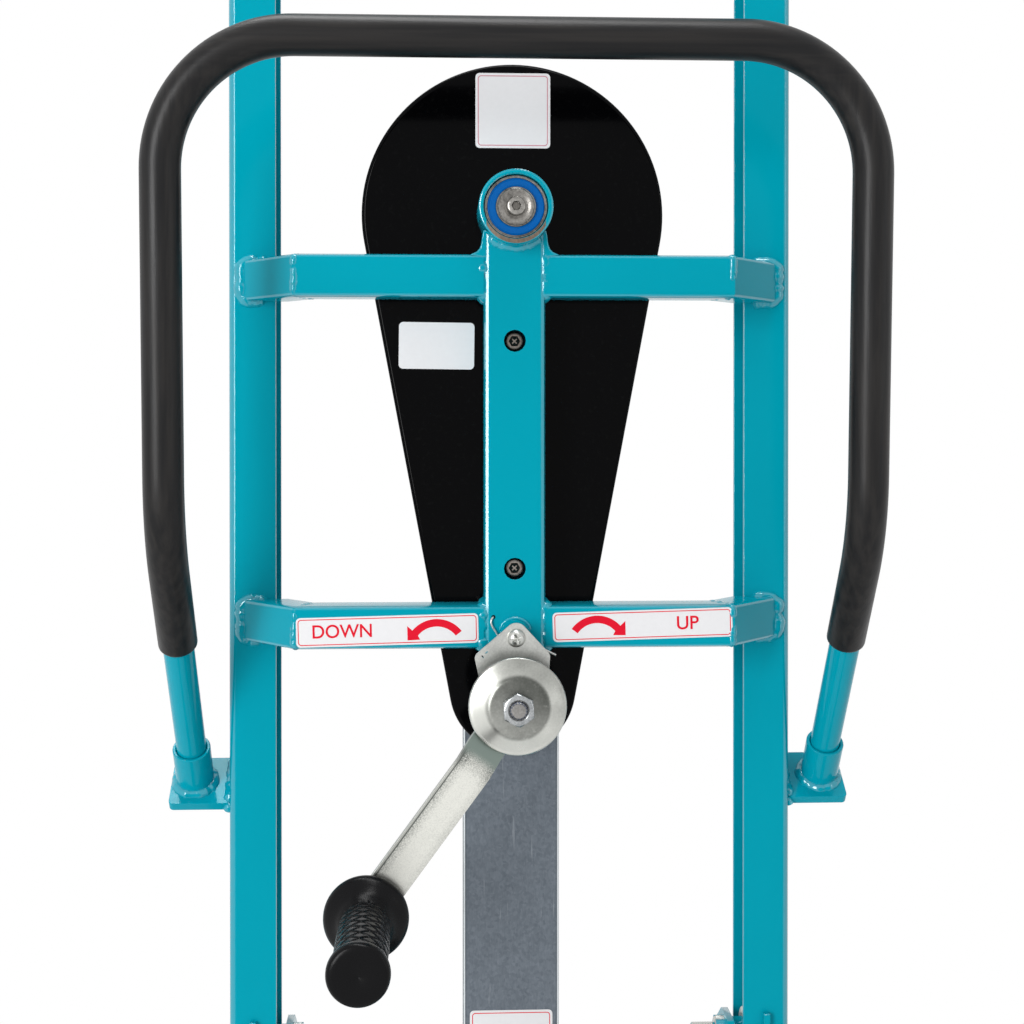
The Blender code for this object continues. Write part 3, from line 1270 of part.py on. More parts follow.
def make_clamp(sliding):
    """The lug on the lower tube that holds the rising run of the lifting chain."""
    run_x = -SMALL_PITCH_RADIUS
    plate = CHAIN_PLATE / 2
    chain_front = LIFT_PLANE + CHAIN_WIDTH / 2
    low_z = LOWER_TUBE_Z - CLAMP_HEIGHT / 2
    high_z = LOWER_TUBE_Z + CLAMP_HEIGHT / 2
    front = CARRIAGE_TUBE_Y - SEAT_GAP
    inner_edge = run_x + plate + SEAT_GAP
    lug = block(
        "chain_clamp", (run_x - plate + 0.002, chain_front + SEAT_GAP, low_z),
        (inner_edge + 0.008, front, high_z), sliding, STEEL,
    )
    jaw = block(
        "chain_clamp_jaw", (inner_edge, LIFT_PLANE - CHAIN_WIDTH / 2, low_z + 0.002),
        (inner_edge + 0.007, front - 0.004, high_z - 0.002), sliding,
    )
    weld(lug, jaw)


make_rails()
make_crossbars()
make_post()
make_housings()
make_bearing("front_bearing", HOUSING_FRONT + BEARING_RECESS)
make_bearing("rear_bearing", TUBE_SIZE - BEARING_WIDTH)
make_guard()
make_case()
make_case_screw("case_screw_upper", CRANK_Z + UPPER_ACCESS_ABOVE_CRANK)
make_case_screw("case_screw_lower", CRANK_Z + LOWER_ACCESS_ABOVE_CRANK)
make_chains()
make_upper_shaft()
make_crank()
make_ratchet()
make_pawl()
make_pawl_plate()
make_pawl_spring()
make_handle()
make_base()
make_idler()
make_carriage()
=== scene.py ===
# %% [markdown]
# # A hand-cranked material lift
# The lift is a mast of two steel channels on wheels. A crank with a load brake
# drives a chain, and the chain lifts a carriage with two forks. This notebook
# takes the solid model, gives every piece its real finish, and models again the
# pieces that need a finer shape than a solid for machining has.

# %% Open the solid model
import json
import math

import bmesh
import bpy
from mathutils import Matrix, Vector, noise

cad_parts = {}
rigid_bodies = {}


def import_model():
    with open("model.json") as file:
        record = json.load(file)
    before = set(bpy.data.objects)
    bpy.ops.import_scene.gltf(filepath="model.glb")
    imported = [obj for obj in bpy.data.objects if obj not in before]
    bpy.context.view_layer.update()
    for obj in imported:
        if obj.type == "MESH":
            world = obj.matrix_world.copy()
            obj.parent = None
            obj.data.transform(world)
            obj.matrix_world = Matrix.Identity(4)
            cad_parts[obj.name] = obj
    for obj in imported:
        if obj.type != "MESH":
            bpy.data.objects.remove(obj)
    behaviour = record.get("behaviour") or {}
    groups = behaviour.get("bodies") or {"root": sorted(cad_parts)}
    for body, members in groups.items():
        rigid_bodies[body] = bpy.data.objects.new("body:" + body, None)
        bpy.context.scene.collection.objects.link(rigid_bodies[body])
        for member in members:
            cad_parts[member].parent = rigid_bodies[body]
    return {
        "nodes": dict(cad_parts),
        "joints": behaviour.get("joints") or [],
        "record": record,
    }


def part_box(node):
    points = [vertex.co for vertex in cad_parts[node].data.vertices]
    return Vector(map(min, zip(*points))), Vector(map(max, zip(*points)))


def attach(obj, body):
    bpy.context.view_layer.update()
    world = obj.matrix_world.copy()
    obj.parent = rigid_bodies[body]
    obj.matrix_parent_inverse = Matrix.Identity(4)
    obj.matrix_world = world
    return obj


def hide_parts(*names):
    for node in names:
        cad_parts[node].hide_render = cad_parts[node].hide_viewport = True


for startup_object in list(bpy.data.objects):
    bpy.data.objects.remove(startup_object)
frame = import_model()
scene = bpy.context.scene
nodes = frame["nodes"]
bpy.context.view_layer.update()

# %% [markdown]
# The joints say where the turning pieces have their axes. Every new piece is
# placed from those axes and from the boxes of the solids, so nothing has to be
# fitted by eye.

# %% Axes and planes
axis = {joint["name"]: Vector(joint["pos_m"]) for joint in frame["joints"] if "pos_m" in joint}
BAR_FRONT = axis["crank_turn"].y
CRANK_Z = axis["crank_turn"].z
SHAFT_Z = axis["upper_shaft_turn"].z
GRIP_X, GRIP_Z = axis["grip_turn"].x, axis["grip_turn"].z
print("crossbar fronts at y", BAR_FRONT, "crank at z", CRANK_Z, "upper shaft at z", SHAFT_Z)

# %% [markdown]
# ## Shader maths
# Sums of shader values are easier to read as expressions than as chains of
# nodes. A Wire is one output of a node. Adding or multiplying it makes the Math
# node and returns that node's output as the next Wire.


# %% Wires that can be added and multiplied
class Wire:
    """One output of a shader node. Arithmetic on it adds Math nodes."""

    def __init__(self, finish, made, output=0):
        self.finish, self.made, self.socket = finish, made, made.outputs[output]

    def __getitem__(self, output):
        return Wire(self.finish, self.made, output)

    def math(self, operation, *values):
        return self.finish.node("Math", {"operation": operation}, dict(enumerate(values)))

    def __add__(self, other):
        return self.math("ADD", self, other)

    def __sub__(self, other):
        return self.math("SUBTRACT", self, other)

    def __rsub__(self, other):
        return self.math("SUBTRACT", other, self)

    def __mul__(self, other):
        return self.math("MULTIPLY", self, other)

    def __truediv__(self, other):
        return self.math("DIVIDE", self, other)

    def __pow__(self, other):
        return self.math("POWER", self, other)

    __radd__, __rmul__ = __add__, __mul__

    def sine(self):
        return self.math("SINE", self)

    def size(self):
        """The number without its sign."""
        return self.math("ABSOLUTE", self)

    def fade(self, low, high):
        """0 below low, 1 above high, and a smooth step between them."""
        settings = {"interpolation_type": "SMOOTHSTEP"}
        return self.finish.node("MapRange", settings, {"Value": self, "From Min": low, "From Max": high})


# %% [markdown]
# A Finish is one material under construction. Its `node` method adds any node:
# the settings go in first, because some of them change which sockets there are,
# and then the values or wires of its sockets.


# %% A finish that is built node by node
class Finish:
    """A material, with the record's slot that it belongs to."""

    def __init__(self, name, slot):
        self.material = bpy.data.materials.new(name)
        self.material.use_nodes = True
        self.tree = self.material.node_tree
        self.shader = self.tree.nodes["Principled BSDF"]
        self.slot = slot
        self.place = self.node("TexCoord")["Object"]

    def node(self, kind, settings=None, values=None):
        made = self.tree.nodes.new("ShaderNode" + kind)
        for key, value in (settings or {}).items():
            if key == "stops":
                for stop in value[2:]:
                    made.color_ramp.elements.new(stop[0])
                for element, (position, colour) in zip(made.color_ramp.elements, value):
                    element.position, element.color = position, (*colour, 1)
            else:
                setattr(made, key, value)
        for key, value in (values or {}).items():
            self.plug(made.inputs[key], value)
        return Wire(self, made)

    def plug(self, socket, value):
        if isinstance(value, Wire):
            self.tree.links.new(value.socket, socket)
        else:
            socket.default_value = value

    def set(self, **values):
        """Sets the surface shader's sockets: specular_ior_level means Specular IOR Level."""
        names = {key.title().replace("_", " ").replace("Ior", "IOR"): key for key in values}
        for name, key in names.items():
            value = values[key]
            if isinstance(value, tuple) and len(value) == 3:
                value = (*value, 1)
            self.plug(self.shader.inputs[name], value)
        return self

    def blend(self, share, first, second):
        """The first colour where share is 0 and the second where it is 1."""
        first, second = [(*c, 1) if isinstance(c, tuple) else c for c in (first, second)]
        return self.node("Mix", {"data_type": "RGBA"}, {0: share, 6: first, 7: second})[2]

    def grain(self, scale, detail=2.0, stretch=(1, 1, 1), roughness=0.5):
        """Soft noise from 0 to 1, with scale features to the metre."""
        place = self.node("VectorMath", {"operation": "MULTIPLY"}, {0: self.place, 1: stretch})
        values = {"Vector": place, "Scale": scale, "Detail": detail, "Roughness": roughness}
        return self.node("TexNoise", None, values)

    def bump(self, height, distance, strength=1.0, under=None):
        """A normal from a height of 0 to 1 that stands distance metres tall."""
        values = {"Height": height, "Distance": distance, "Strength": strength}
        if under is not None:
            values["Normal"] = under
        return self.node("Bump", None, values)

    def parts(self):
        return self.node("SeparateXYZ", None, {0: self.place})

    def facing(self):
        """Which way the surface looks, in x, y and z."""
        return self.node("SeparateXYZ", None, {0: self.node("TexCoord")["Normal"]})

    def radius(self, centre, across):
        """Distance from a line through centre, for turned marks. across names its two other axes."""
        parts = self.parts()
        squares = [(parts[a] - centre["XYZ".index(a)]) ** 2 for a in across]
        return (squares[0] + squares[1]) ** 0.5


print("finishes are built from", Finish.__name__, "and", Wire.__name__)

# %% [markdown]
# ## Finishes
# Colours are measured in display values from 0 to 255. A shader wants
# linear light, so one helper changes the first into the second.


# %% Display colour to linear light
def shown(red, green, blue):
    def linear(value):
        value /= 255
        return value / 12.92 if value <= 0.04045 else ((value + 0.055) / 1.055) ** 2.4

    return tuple(linear(value) for value in (red, green, blue))


print("mid grey in linear light", shown(128, 128, 128)[0])

# %% [markdown]
# The steelwork is powder coated in turquoise. Powder melts into a smooth, hard
# skin with a faint orange peel of two or three millimetres, and its gloss is
# even. The peel is fine noise in a bump. Large, weak noise stands for the
# slightly uneven build of the coat.


# %% Turquoise powder coat
def powder_coat(name, coat):
    finish = Finish(name, "turquoise_paint")
    cloud = finish.grain(7, 3)
    colour = finish.blend(cloud, shown(0, 148, 168), shown(0, 157, 178))
    peel = finish.grain(300, 2)
    speck = finish.grain(1500, 1)
    rough = 0.10 + 0.04 * cloud + 0.03 * peel
    normal = finish.bump(peel + 0.2 * speck, 0.00010, 0.35)
    facing = finish.facing()
    along_x, along_y, along_z = (facing[axis].size() for axis in "XYZ")
    flat = along_x.math("MAXIMUM", along_x, along_y)
    flat = flat.math("MAXIMUM", flat, along_z).fade(0.950, 0.990)
    bent = 1 - (along_y - ARM_LEAN).size().fade(0.006, 0.02)
    thick = coat * (1 - flat) * (1 - bent)
    return finish.set(
        base_color=colour, roughness=rough, normal=normal, specular_ior_level=0.12, specular_tint=(0.3, 0.95, 1.0),
        coat_weight=thick, coat_ior=1.75, coat_roughness=0.05,
    )


ARM_LEAN = 0.633
PAINT = powder_coat("turquoise powder coat", 0.85)
PAINT_TUBE = powder_coat("turquoise powder coat, thin", 0.12)
print(PAINT.material.name, "and", PAINT_TUBE.material.name)

# %% [markdown]
# The chain case is pressed from thin sheet and painted glossy black. It looks
# almost like glass, but a coat on thin sheet is never quite flat, so a very
# long, shallow wave bends its reflections.


# %% Glossy black paint
def black_gloss():
    finish = Finish("glossy black paint", "black_gloss_paint")
    wave = finish.grain(9, 1)
    dust = finish.grain(260, 3)
    colour = finish.blend(dust.fade(0.55, 0.8), shown(3, 3, 4), shown(9, 9, 10))
    normal = finish.bump(wave, 0.002, 0.15)
    return finish.set(
        base_color=colour, roughness=0.06 + 0.08 * dust, normal=normal, specular_ior_level=0.05
    )


GLOSS = black_gloss()
print(GLOSS.material.name)

# %% [markdown]
# The guard column is folded from galvanised sheet. Zinc freezes in flat
# crystals, each of which reflects a little differently. A Voronoi texture has
# the same cells. Its cell colour gives each crystal its own grey and gloss. A
# painted highlight runs along the guard's two front edges, with a thin line of
# painted shade just inside each.


# %% Galvanised sheet
def galvanised():
    finish = Finish("galvanised sheet", "galvanised_sheet")
    warp = finish.grain(60, 2)["Color"]
    place = finish.node("VectorMath", {"operation": "MULTIPLY_ADD"}, {0: warp, 1: (0.006,) * 3, 2: finish.place})
    crystal = finish.node("TexVoronoi", None, {"Vector": place, "Scale": 420.0})
    shade = finish.node("SeparateColor", None, {0: crystal["Color"]})
    fine = finish.grain(900, 3, (1, 1, 0.3))
    rubbed = finish.grain(90, 4, (1.6, 1, 0.5))
    share = 0.25 * shade + 0.45 * fine + 0.3 * rubbed
    scratch = finish.grain(240, 2, (1.0, 1, 0.07)).fade(0.66, 0.72)
    colour = finish.blend(share, shown(78, 86, 94), shown(128, 136, 145))
    colour = finish.blend(0.35 * scratch, colour, shown(160, 166, 172))
    aside, ahead = finish.parts()["X"].size(), finish.facing()["Y"].size().fade(0.3, 0.7)
    # A thin line of painted shade sits just inside each front edge, and a painted highlight on the edge itself, both on
    # faces that look forward.
    painted_shade_line = 1 - (aside - 0.0388).size().fade(0.0002, 0.0006)
    colour = finish.blend(0.45 * painted_shade_line * ahead, colour, shown(64, 72, 78))
    colour = finish.blend(0.85 * aside.fade(0.0393, 0.0399) * ahead, colour, shown(226, 231, 233))
    normal = finish.bump(share, 0.00005, 0.6)
    return finish.set(base_color=colour, metallic=0.85, roughness=0.40 + 0.14 * share, normal=normal)


GALVANISED = galvanised()
print(GALVANISED.material.name)

# %% [markdown]
# Screws, the crank's arm and the cap are bright zinc plated. Plating follows
# the steel under it, so turned parts keep fine rings and a rolled bar keeps
# faint marks along its length. One recipe makes the plain and the turned
# metals, with the kind of its marks handed in; the cap and the arm have
# recipes of their own.


# %% Bright zinc and plain steel
def bare_metal(name, slot, dark, light, rough, marks="all round", stretch=(1, 1, 1), centre=None, across="XZ"):
    finish = Finish(name, slot)
    cloud = finish.grain(35, 4, roughness=0.6)
    if marks == "turned":
        away = finish.radius(centre, across)
        rings = (away * 5200).sine() * 0.5 + 0.5
        mark = 0.12 * rings + 0.88 * finish.grain(420, 3)
    else:
        mark = finish.grain(700, 3, stretch)
    share = 0.6 * cloud + 0.4 * mark
    colour = finish.blend(share.fade(0.2, 0.8), dark, light)
    normal = finish.bump(mark, 0.00003, 0.5)
    return finish.set(
        base_color=colour, metallic=1.0, roughness=rough - 0.05 + 0.12 * cloud + 0.06 * mark, normal=normal
    )


crank_centre = (0, 0, CRANK_Z)
ZINC = bare_metal("bright zinc", "bright_zinc", shown(168, 169, 166), shown(214, 215, 210), 0.30)
ZINC_NUT = bare_metal("bright zinc on nut", "bright_zinc", shown(112, 116, 120), shown(192, 195, 196), 0.22)


def pressed_cap():
    """The brake's cap: its flat middle is darker than the cone round it, it has painted shade towards its upper right,
    and it is worn in patches.
    """
    finish = Finish("bright zinc on pressed cap", "bright_zinc")
    parts = finish.parts()
    # Painted shade: the cap's colour darkens towards its upper right.
    aside = (0.50 * parts["X"] + 0.86 * (parts["Z"] - CRANK_Z)).fade(-0.026, 0.038)
    middle = 1 - finish.radius(crank_centre, "XZ").fade(0.0238, 0.0272)
    cloud, grain = finish.grain(60, 3), finish.grain(600, 3)
    worn = finish.grain(210, 5, roughness=0.7).fade(0.56, 0.72)
    tone_and_painted_shade = 0.15 + 0.40 * middle + 0.40 * aside + 0.3 * (cloud - 0.5) + 0.16 * (grain - 0.5) - 0.16 * worn * middle
    colour = finish.blend(tone_and_painted_shade.fade(0, 1), shown(216, 217, 211), shown(84, 86, 82))
    normal = finish.bump(grain, 0.00003, 0.5)
    return finish.set(base_color=colour, metallic=1.0, roughness=0.24 + 0.10 * cloud, normal=normal)


ZINC_CAP = pressed_cap()


def rolled_bar():
    """The crank's arm: a grainy skin with painted shade towards both long edges, along a line near the outer edge and
    at the step, and a painted greenish reflection next to the cap.
    """
    finish = Finish("bright zinc on rolled bar", "bright_zinc")
    parts = finish.parts()
    across = 0.8049 * parts["X"] - 0.5934 * (parts["Z"] - CRANK_Z)
    along = -0.5934 * parts["X"] - 0.8049 * (parts["Z"] - CRANK_Z)
    grain, cloud = finish.grain(1050, 3, roughness=0.7), finish.grain(60, 3, (0.4, 1, 0.4))
    # Painted shade: darker towards the outer edge, towards the other long edge, along a thin line near the outer edge
    # and at the step.
    outer = 1 - across.fade(-0.0145, -0.0030)
    step = 1 - along.fade(0.052, 0.070)
    painted_shade_edge_line = 1 - (across + 0.0129).size().fade(0.0002, 0.0007)
    tone_and_painted_shade = 0.14 + 0.34 * outer + 0.18 * across.fade(0.006, 0.0150) + 0.34 * step + 0.3 * (cloud - 0.5)
    tone_and_painted_shade = tone_and_painted_shade + (grain - 0.5) * (0.8 + 1.2 * outer + 0.9 * step) * across.fade(-0.0131, -0.0123) + 0.6 * painted_shade_edge_line
    colour = finish.blend(tone_and_painted_shade.fade(0, 1), shown(228, 228, 221), shown(100, 104, 100))
    # A painted greenish reflection, darker than the zinc, lies on the arm next to the cap.
    colour = finish.blend(along.fade(0.0465, 0.0560), shown(124, 136, 130), colour)
    normal = finish.bump(grain, 0.00008, 0.6)
    return finish.set(base_color=colour, metallic=1.0, roughness=0.30 + 0.14 * cloud, normal=normal)


ZINC_BAR = rolled_bar()
STEEL = bare_metal("plain steel", "plain_steel", shown(104, 102, 100), shown(170, 168, 165), 0.28)
STEEL_TURNED = bare_metal(
    "turned steel", "plain_steel", shown(40, 39, 37), shown(176, 173, 168), 0.20,
    "turned", centre=(0, 0, SHAFT_Z),
)
SCRAPED = bare_metal("scraped steel", "plain_steel", shown(88, 76, 66), shown(146, 132, 118), 0.44)
SPRING_WIRE = bare_metal("spring wire", "plain_steel", shown(150, 150, 148), shown(226, 225, 221), 0.24)
SAWN = bare_metal("sawn steel", "plain_steel", shown(58, 62, 74), shown(106, 110, 120), 0.48)
CHAIN = bare_metal("oiled chain steel", "oiled_chain_steel", shown(66, 64, 61), shown(120, 117, 112), 0.34)
BLACK_SCREW = bare_metal("black oxide steel", "black_oxide_steel", shown(84, 76, 70), shown(150, 143, 136), 0.28)
# Dark discs of painted shade sit in the screws' sockets and in the spring's hole.
PAINTED_SHADE_DARK = bare_metal("painted shade in sockets and holes", "black_oxide_steel", shown(6, 12, 12), shown(24, 32, 32), 0.30)
print("metals ready, from", ZINC.material.name, "to", BLACK_SCREW.material.name)

# %% [markdown]
# Rubber and plastic pieces share a recipe too: a matt colour with fine pores.
# The wheels' rims and the front rollers are moulded plastics.


# %% Rubbers and plastics
def moulded(name, slot, dark, light, rough, pore_scale, pore_depth, specular=0.4):
    finish = Finish(name, slot)
    cloud = finish.grain(16, 3)
    pores = finish.grain(pore_scale, 3)
    colour = finish.blend(0.5 * cloud + 0.5 * pores, dark, light)
    normal = finish.bump(pores, pore_depth, 0.7)
    return finish.set(
        base_color=colour, roughness=rough - 0.06 + 0.12 * pores, normal=normal, specular_ior_level=specular
    )


RUBBER = moulded("black grip rubber", "black_rubber", shown(5, 5, 6), shown(14, 14, 16), 0.26, 800, 0.00006, 0.12)
TYRE = moulded("tyre rubber", "tyre_rubber", shown(24, 24, 25), shown(44, 43, 42), 0.62, 500, 0.00015)
RIM = moulded("grey rim plastic", "grey_rim_plastic", shown(112, 116, 120), shown(134, 138, 142), 0.42, 700, 0.00005)
NYLON = moulded("white nylon", "white_nylon", shown(214, 213, 204), shown(232, 231, 224), 0.36, 500, 0.00004)
SEAL = moulded("blue bearing seal", "black_rubber", shown(0, 86, 160), shown(2, 102, 182), 0.34, 700, 0.00004, 0.12)
VINYL = moulded("white vinyl", "bright_zinc", shown(224, 224, 226), shown(234, 234, 236), 0.34, 300, 0.00002, 0.3)
RED_INK = moulded("red print", "bright_zinc", shown(214, 18, 42), shown(230, 26, 52), 0.36, 400, 0.00001, 0.1)
PINK_INK = moulded("pale red print", "bright_zinc", shown(196, 122, 138), shown(206, 136, 150), 0.36, 400, 0.00001, 0.3)
print("rubbers, plastics and prints ready")

# %% [markdown]
# The sleeve is a soft skin pulled over the tube. Pulling stretches it, so its
# shine breaks up into long streaks that run along the tube: upright on the
# legs, and sideways on the bar. Two stretched noises make them, and the height
# above the floor chooses between the two.


# %% Sleeve skin
def sleeve_skin():
    finish = Finish("charcoal sleeve foam", "charcoal_sleeve")
    on_bar = finish.parts()["Z"].fade(1.345, 1.385)
    upright, sideways = finish.grain(170, 4, (1, 1, 0.035)), finish.grain(170, 4, (0.035, 1, 1))
    streak = upright * (1 - on_bar) + sideways * on_bar
    pores = finish.grain(900, 3)
    colour = finish.blend(streak.fade(0.3, 0.75), shown(13, 13, 15), shown(34, 32, 31))
    normal = finish.bump(streak + 0.12 * pores, 0.0006, 0.45)
    return finish.set(base_color=colour, roughness=0.30 + 0.16 * streak, normal=normal, specular_ior_level=0.24)


FOAM = sleeve_skin()
print(FOAM.material.name)

# %% [markdown]
# ## Finishes on the solids
# Each solid's record row says which material it has. Real edges are never
# knife sharp, and a rounded edge catches a thin line of light, which is what
# tells the eye that a tube is steel. A Bevel modifier rounds the edges of the
# shown piece only and leaves the solid's own mesh as it is. Weld joins the
# corners that the file format split, and Weighted Normal keeps flat faces flat.

# %% Dress every solid
finish_of = {f.slot: f for f in (PAINT, GLOSS, GALVANISED, ZINC, STEEL, CHAIN, BLACK_SCREW, FOAM, RUBBER, TYRE, RIM, NYLON)}
slot_of = {row["node"]: row["material_slot"] for row in frame["record"]["subparts"]}


def round_shown_edges(piece, width, segments=2, angle=35):
    weld = piece.modifiers.new("join corners", "WELD")
    weld.merge_threshold = 0.00001
    bevel = piece.modifiers.new("round edges", "BEVEL")
    bevel.width, bevel.segments = width, segments
    bevel.limit_method, bevel.angle_limit = "ANGLE", math.radians(angle)
    bevel.harden_normals = False
    even = piece.modifiers.new("even light", "WEIGHTED_NORMAL")
    even.keep_sharp = True


edge_width = {"chain_guard": 0.0009, "crank_arm": 0.0009, "pawl_plate": 0.0004}
for name, solid in nodes.items():
    solid.data.materials.clear()
    solid.data.materials.append(finish_of[slot_of[name]].material)
    for face in solid.data.polygons:
        face.use_smooth = True
    round_shown_edges(solid, edge_width.get(name, 0.0007))
nodes["crank_arm"].data.materials[0] = ZINC_BAR.material
print("dressed", len(nodes), "solids")

# %% [markdown]
# ## Tools for new pieces
# Nearly every finer piece is a row of rings joined by faces. A turned piece has
# rings round an axis, and a bent tube has rings along a path. `skin` joins any
# such rings, and `add_piece` puts the mesh on its body and hides its solid.


# %% Skin rings and add a piece
def skin(rings, loop=False, caps=True):
    """A mesh through rings of equally many points. loop joins the last ring to the first."""
    shape = bmesh.new()
    rows = [[shape.verts.new(point) for point in ring] for ring in rings]
    count = len(rows[0])
    pairs = list(zip(rows, rows[1:])) + ([(rows[-1], rows[0])] if loop else [])
    for first, second in pairs:
        for i in range(count):
            j = (i + 1) % count
            shape.faces.new((first[i], first[j], second[j], second[i]))
    if caps and not loop:
        shape.faces.new(rows[0][::-1])
        shape.faces.new(rows[-1])
    bmesh.ops.remove_doubles(shape, verts=shape.verts, dist=0.000002)
    bmesh.ops.recalc_face_normals(shape, faces=shape.faces)
    return shape


def add_piece(name, shape, finish, body="lift_frame", stands_for=(), sharp=35):
    """Turns a bmesh into a piece that rides on a body."""
    mesh = bpy.data.meshes.new(name)
    shape.to_mesh(mesh)
    shape.free()
    mesh.materials.append(finish.material)
    for face in mesh.polygons:
        face.use_smooth = True
    mesh.set_sharp_from_angle(angle=math.radians(sharp))
    piece = bpy.data.objects.new(name, mesh)
    scene.collection.objects.link(piece)
    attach(piece, body)
    if stands_for:
        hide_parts(*stands_for)
    return piece


def axis_point(along_axis, centre, radius, angle, along):
    """A point at a radius and angle round an axis. along is measured on that axis from the world's origin."""
    a, b = radius * math.cos(angle), radius * math.sin(angle)
    x, y, z = centre
    if along_axis == "Y":
        return Vector((x + a, along, z + b))
    if along_axis == "X":
        return Vector((along, y + a, z + b))
    return Vector((x + a, y + b, along))


def turned(profile, along_axis, centre, steps=64, loop=False):
    """Turns a profile of (radius, along) points."""
    turn = 2 * math.pi / steps
    rings = [
        [axis_point(along_axis, centre, radius, turn * i, along) for i in range(steps)]
        for radius, along in profile
    ]
    return skin(rings, loop, caps=False)


def join(*shapes):
    """One bmesh from several."""
    whole = shapes[0]
    for shape in shapes[1:]:
        mesh = bpy.data.meshes.new("part")
        shape.to_mesh(mesh)
        shape.free()
        whole.from_mesh(mesh)
        bpy.data.meshes.remove(mesh)
    return whole


print("tools ready:", skin.__name__, turned.__name__, add_piece.__name__)

# %% [markdown]
# A tube along a path needs rings that don't twist. Each ring's frame is the one
# before it, turned by the bend between the two, so the tube's flats and texture
# run straight along it.


# %% Tubes, slabs and rounded paths
def pipe(path, radius, steps=24, loop=False, caps=True):
    """A round bar along a path. radius is a number or a function of the point's number."""
    path = [Vector(point) for point in path]
    size = radius if callable(radius) else lambda number: radius
    count = len(path)
    rings, across = [], None
    for i, point in enumerate(path):
        before = path[i - 1] if i or loop else point
        after = path[(i + 1) % count] if i < count - 1 or loop else point
        ahead = (after - before).normalized()
        if across is None:
            across = ahead.orthogonal().normalized()
        across = (across - ahead * across.dot(ahead)).normalized()
        up = ahead.cross(across)
        turn = 2 * math.pi / steps
        rings.append([
            point + size(i) * (math.cos(turn * k) * across + math.sin(turn * k) * up) for k in range(steps)
        ])
    return skin(rings, loop, caps)


def slab(outline, thick, place=Matrix.Identity(4), holes=()):
    """A flat piece from a closed outline in x and z, thick towards +y, with round or other holes."""
    curve = bpy.data.curves.new("outline", "CURVE")
    curve.dimensions, curve.fill_mode, curve.extrude = "2D", "BOTH", thick / 2
    for loop in (outline, *holes):
        spline = curve.splines.new("POLY")
        spline.points.add(len(loop) - 1)
        for point, (x, z) in zip(spline.points, loop):
            point.co = (x, z, 0, 1)
        spline.use_cyclic_u = True
    holder = bpy.data.objects.new("outline", curve)
    scene.collection.objects.link(holder)
    bpy.context.view_layer.update()
    shown_holder = holder.evaluated_get(bpy.context.evaluated_depsgraph_get())
    mesh = bpy.data.meshes.new_from_object(shown_holder)
    bpy.data.objects.remove(holder)
    shape = bmesh.new()
    shape.from_mesh(mesh)
    bpy.data.meshes.remove(mesh)
    bmesh.ops.remove_doubles(shape, verts=shape.verts, dist=0.000002)
    upright = Matrix(((1, 0, 0, 0), (0, 0, -1, thick / 2), (0, 1, 0, 0), (0, 0, 0, 1)))
    shape.transform(place @ upright)
    bmesh.ops.recalc_face_normals(shape, faces=shape.faces)
    return shape


def arc(centre, radius, start, end, steps):
    """Points on an arc, in degrees, both ends included."""
    turn = [math.radians(start + (end - start) * i / steps) for i in range(steps + 1)]
    return [(centre[0] + radius * math.cos(a), centre[1] + radius * math.sin(a)) for a in turn]


def rounded_box(width, height, corner, steps=5, centre=(0, 0)):
    points = []
    for number, (sx, sz) in enumerate(((1, 1), (-1, 1), (-1, -1), (1, -1))):
        middle = (centre[0] + sx * (width / 2 - corner), centre[1] + sz * (height / 2 - corner))
        points += arc(middle, corner, 90 * number, 90 * number + 90, steps)
    return points


def rounded_path(corners, radii, degrees_a_step=3):
    """A path through corners, with each inner corner bent to its radius."""
    path = [Vector(corners[0])]
    for number in range(1, len(corners) - 1):
        corner = Vector(corners[number])
        before = (Vector(corners[number - 1]) - corner).normalized()
        after = (Vector(corners[number + 1]) - corner).normalized()
        half = before.angle(after) / 2
        radius = radii[number - 1]
        centre = corner + (before + after).normalized() * radius / math.sin(half)
        first = corner + before * radius / math.tan(half) - centre
        last = corner + after * radius / math.tan(half) - centre
        turn, around = first.angle(last), first.cross(last).normalized()
        steps = math.ceil(math.degrees(turn) / degrees_a_step)
        path += [centre + Matrix.Rotation(turn * i / steps, 3, around) @ first for i in range(steps + 1)]
    return path + [Vector(corners[-1])]


print("tools ready:", pipe.__name__, slab.__name__, rounded_path.__name__)

# %% [markdown]
# ## Push handle
# One tube is bent up from a socket on each side, leans towards the operator,
# straightens at a knee and crosses over the top. A soft sleeve covers all of it
# but the two feet. Both follow the same rounded path.

# %% Handle tube and sleeve
HANDLE_HALF = (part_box("handle_tube")[1].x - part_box("handle_tube")[0].x) / 2 - 0.0125
handle_side = [(0.091, 0.791), (-0.071, 1.020), (-0.091, 1.396)]
handle_corners = [(-HANDLE_HALF, BAR_FRONT + y, z) for y, z in handle_side]
handle_corners += [(HANDLE_HALF, BAR_FRONT + y, z) for y, z in reversed(handle_side)]
handle_path = rounded_path(handle_corners, [0.150, 0.101, 0.101, 0.150])
foot_rise = (handle_path[1] - handle_path[0]).normalized()
foot_fall = (handle_path[-2] - handle_path[-1]).normalized()
tube_path = [handle_path[0] + foot_rise * 0.0045] + handle_path[1:-1] + [handle_path[-1] + foot_fall * 0.0045]
add_piece("handle_tube_bent", pipe(tube_path, 0.0125, 40), PAINT_TUBE, stands_for=["handle_tube"])

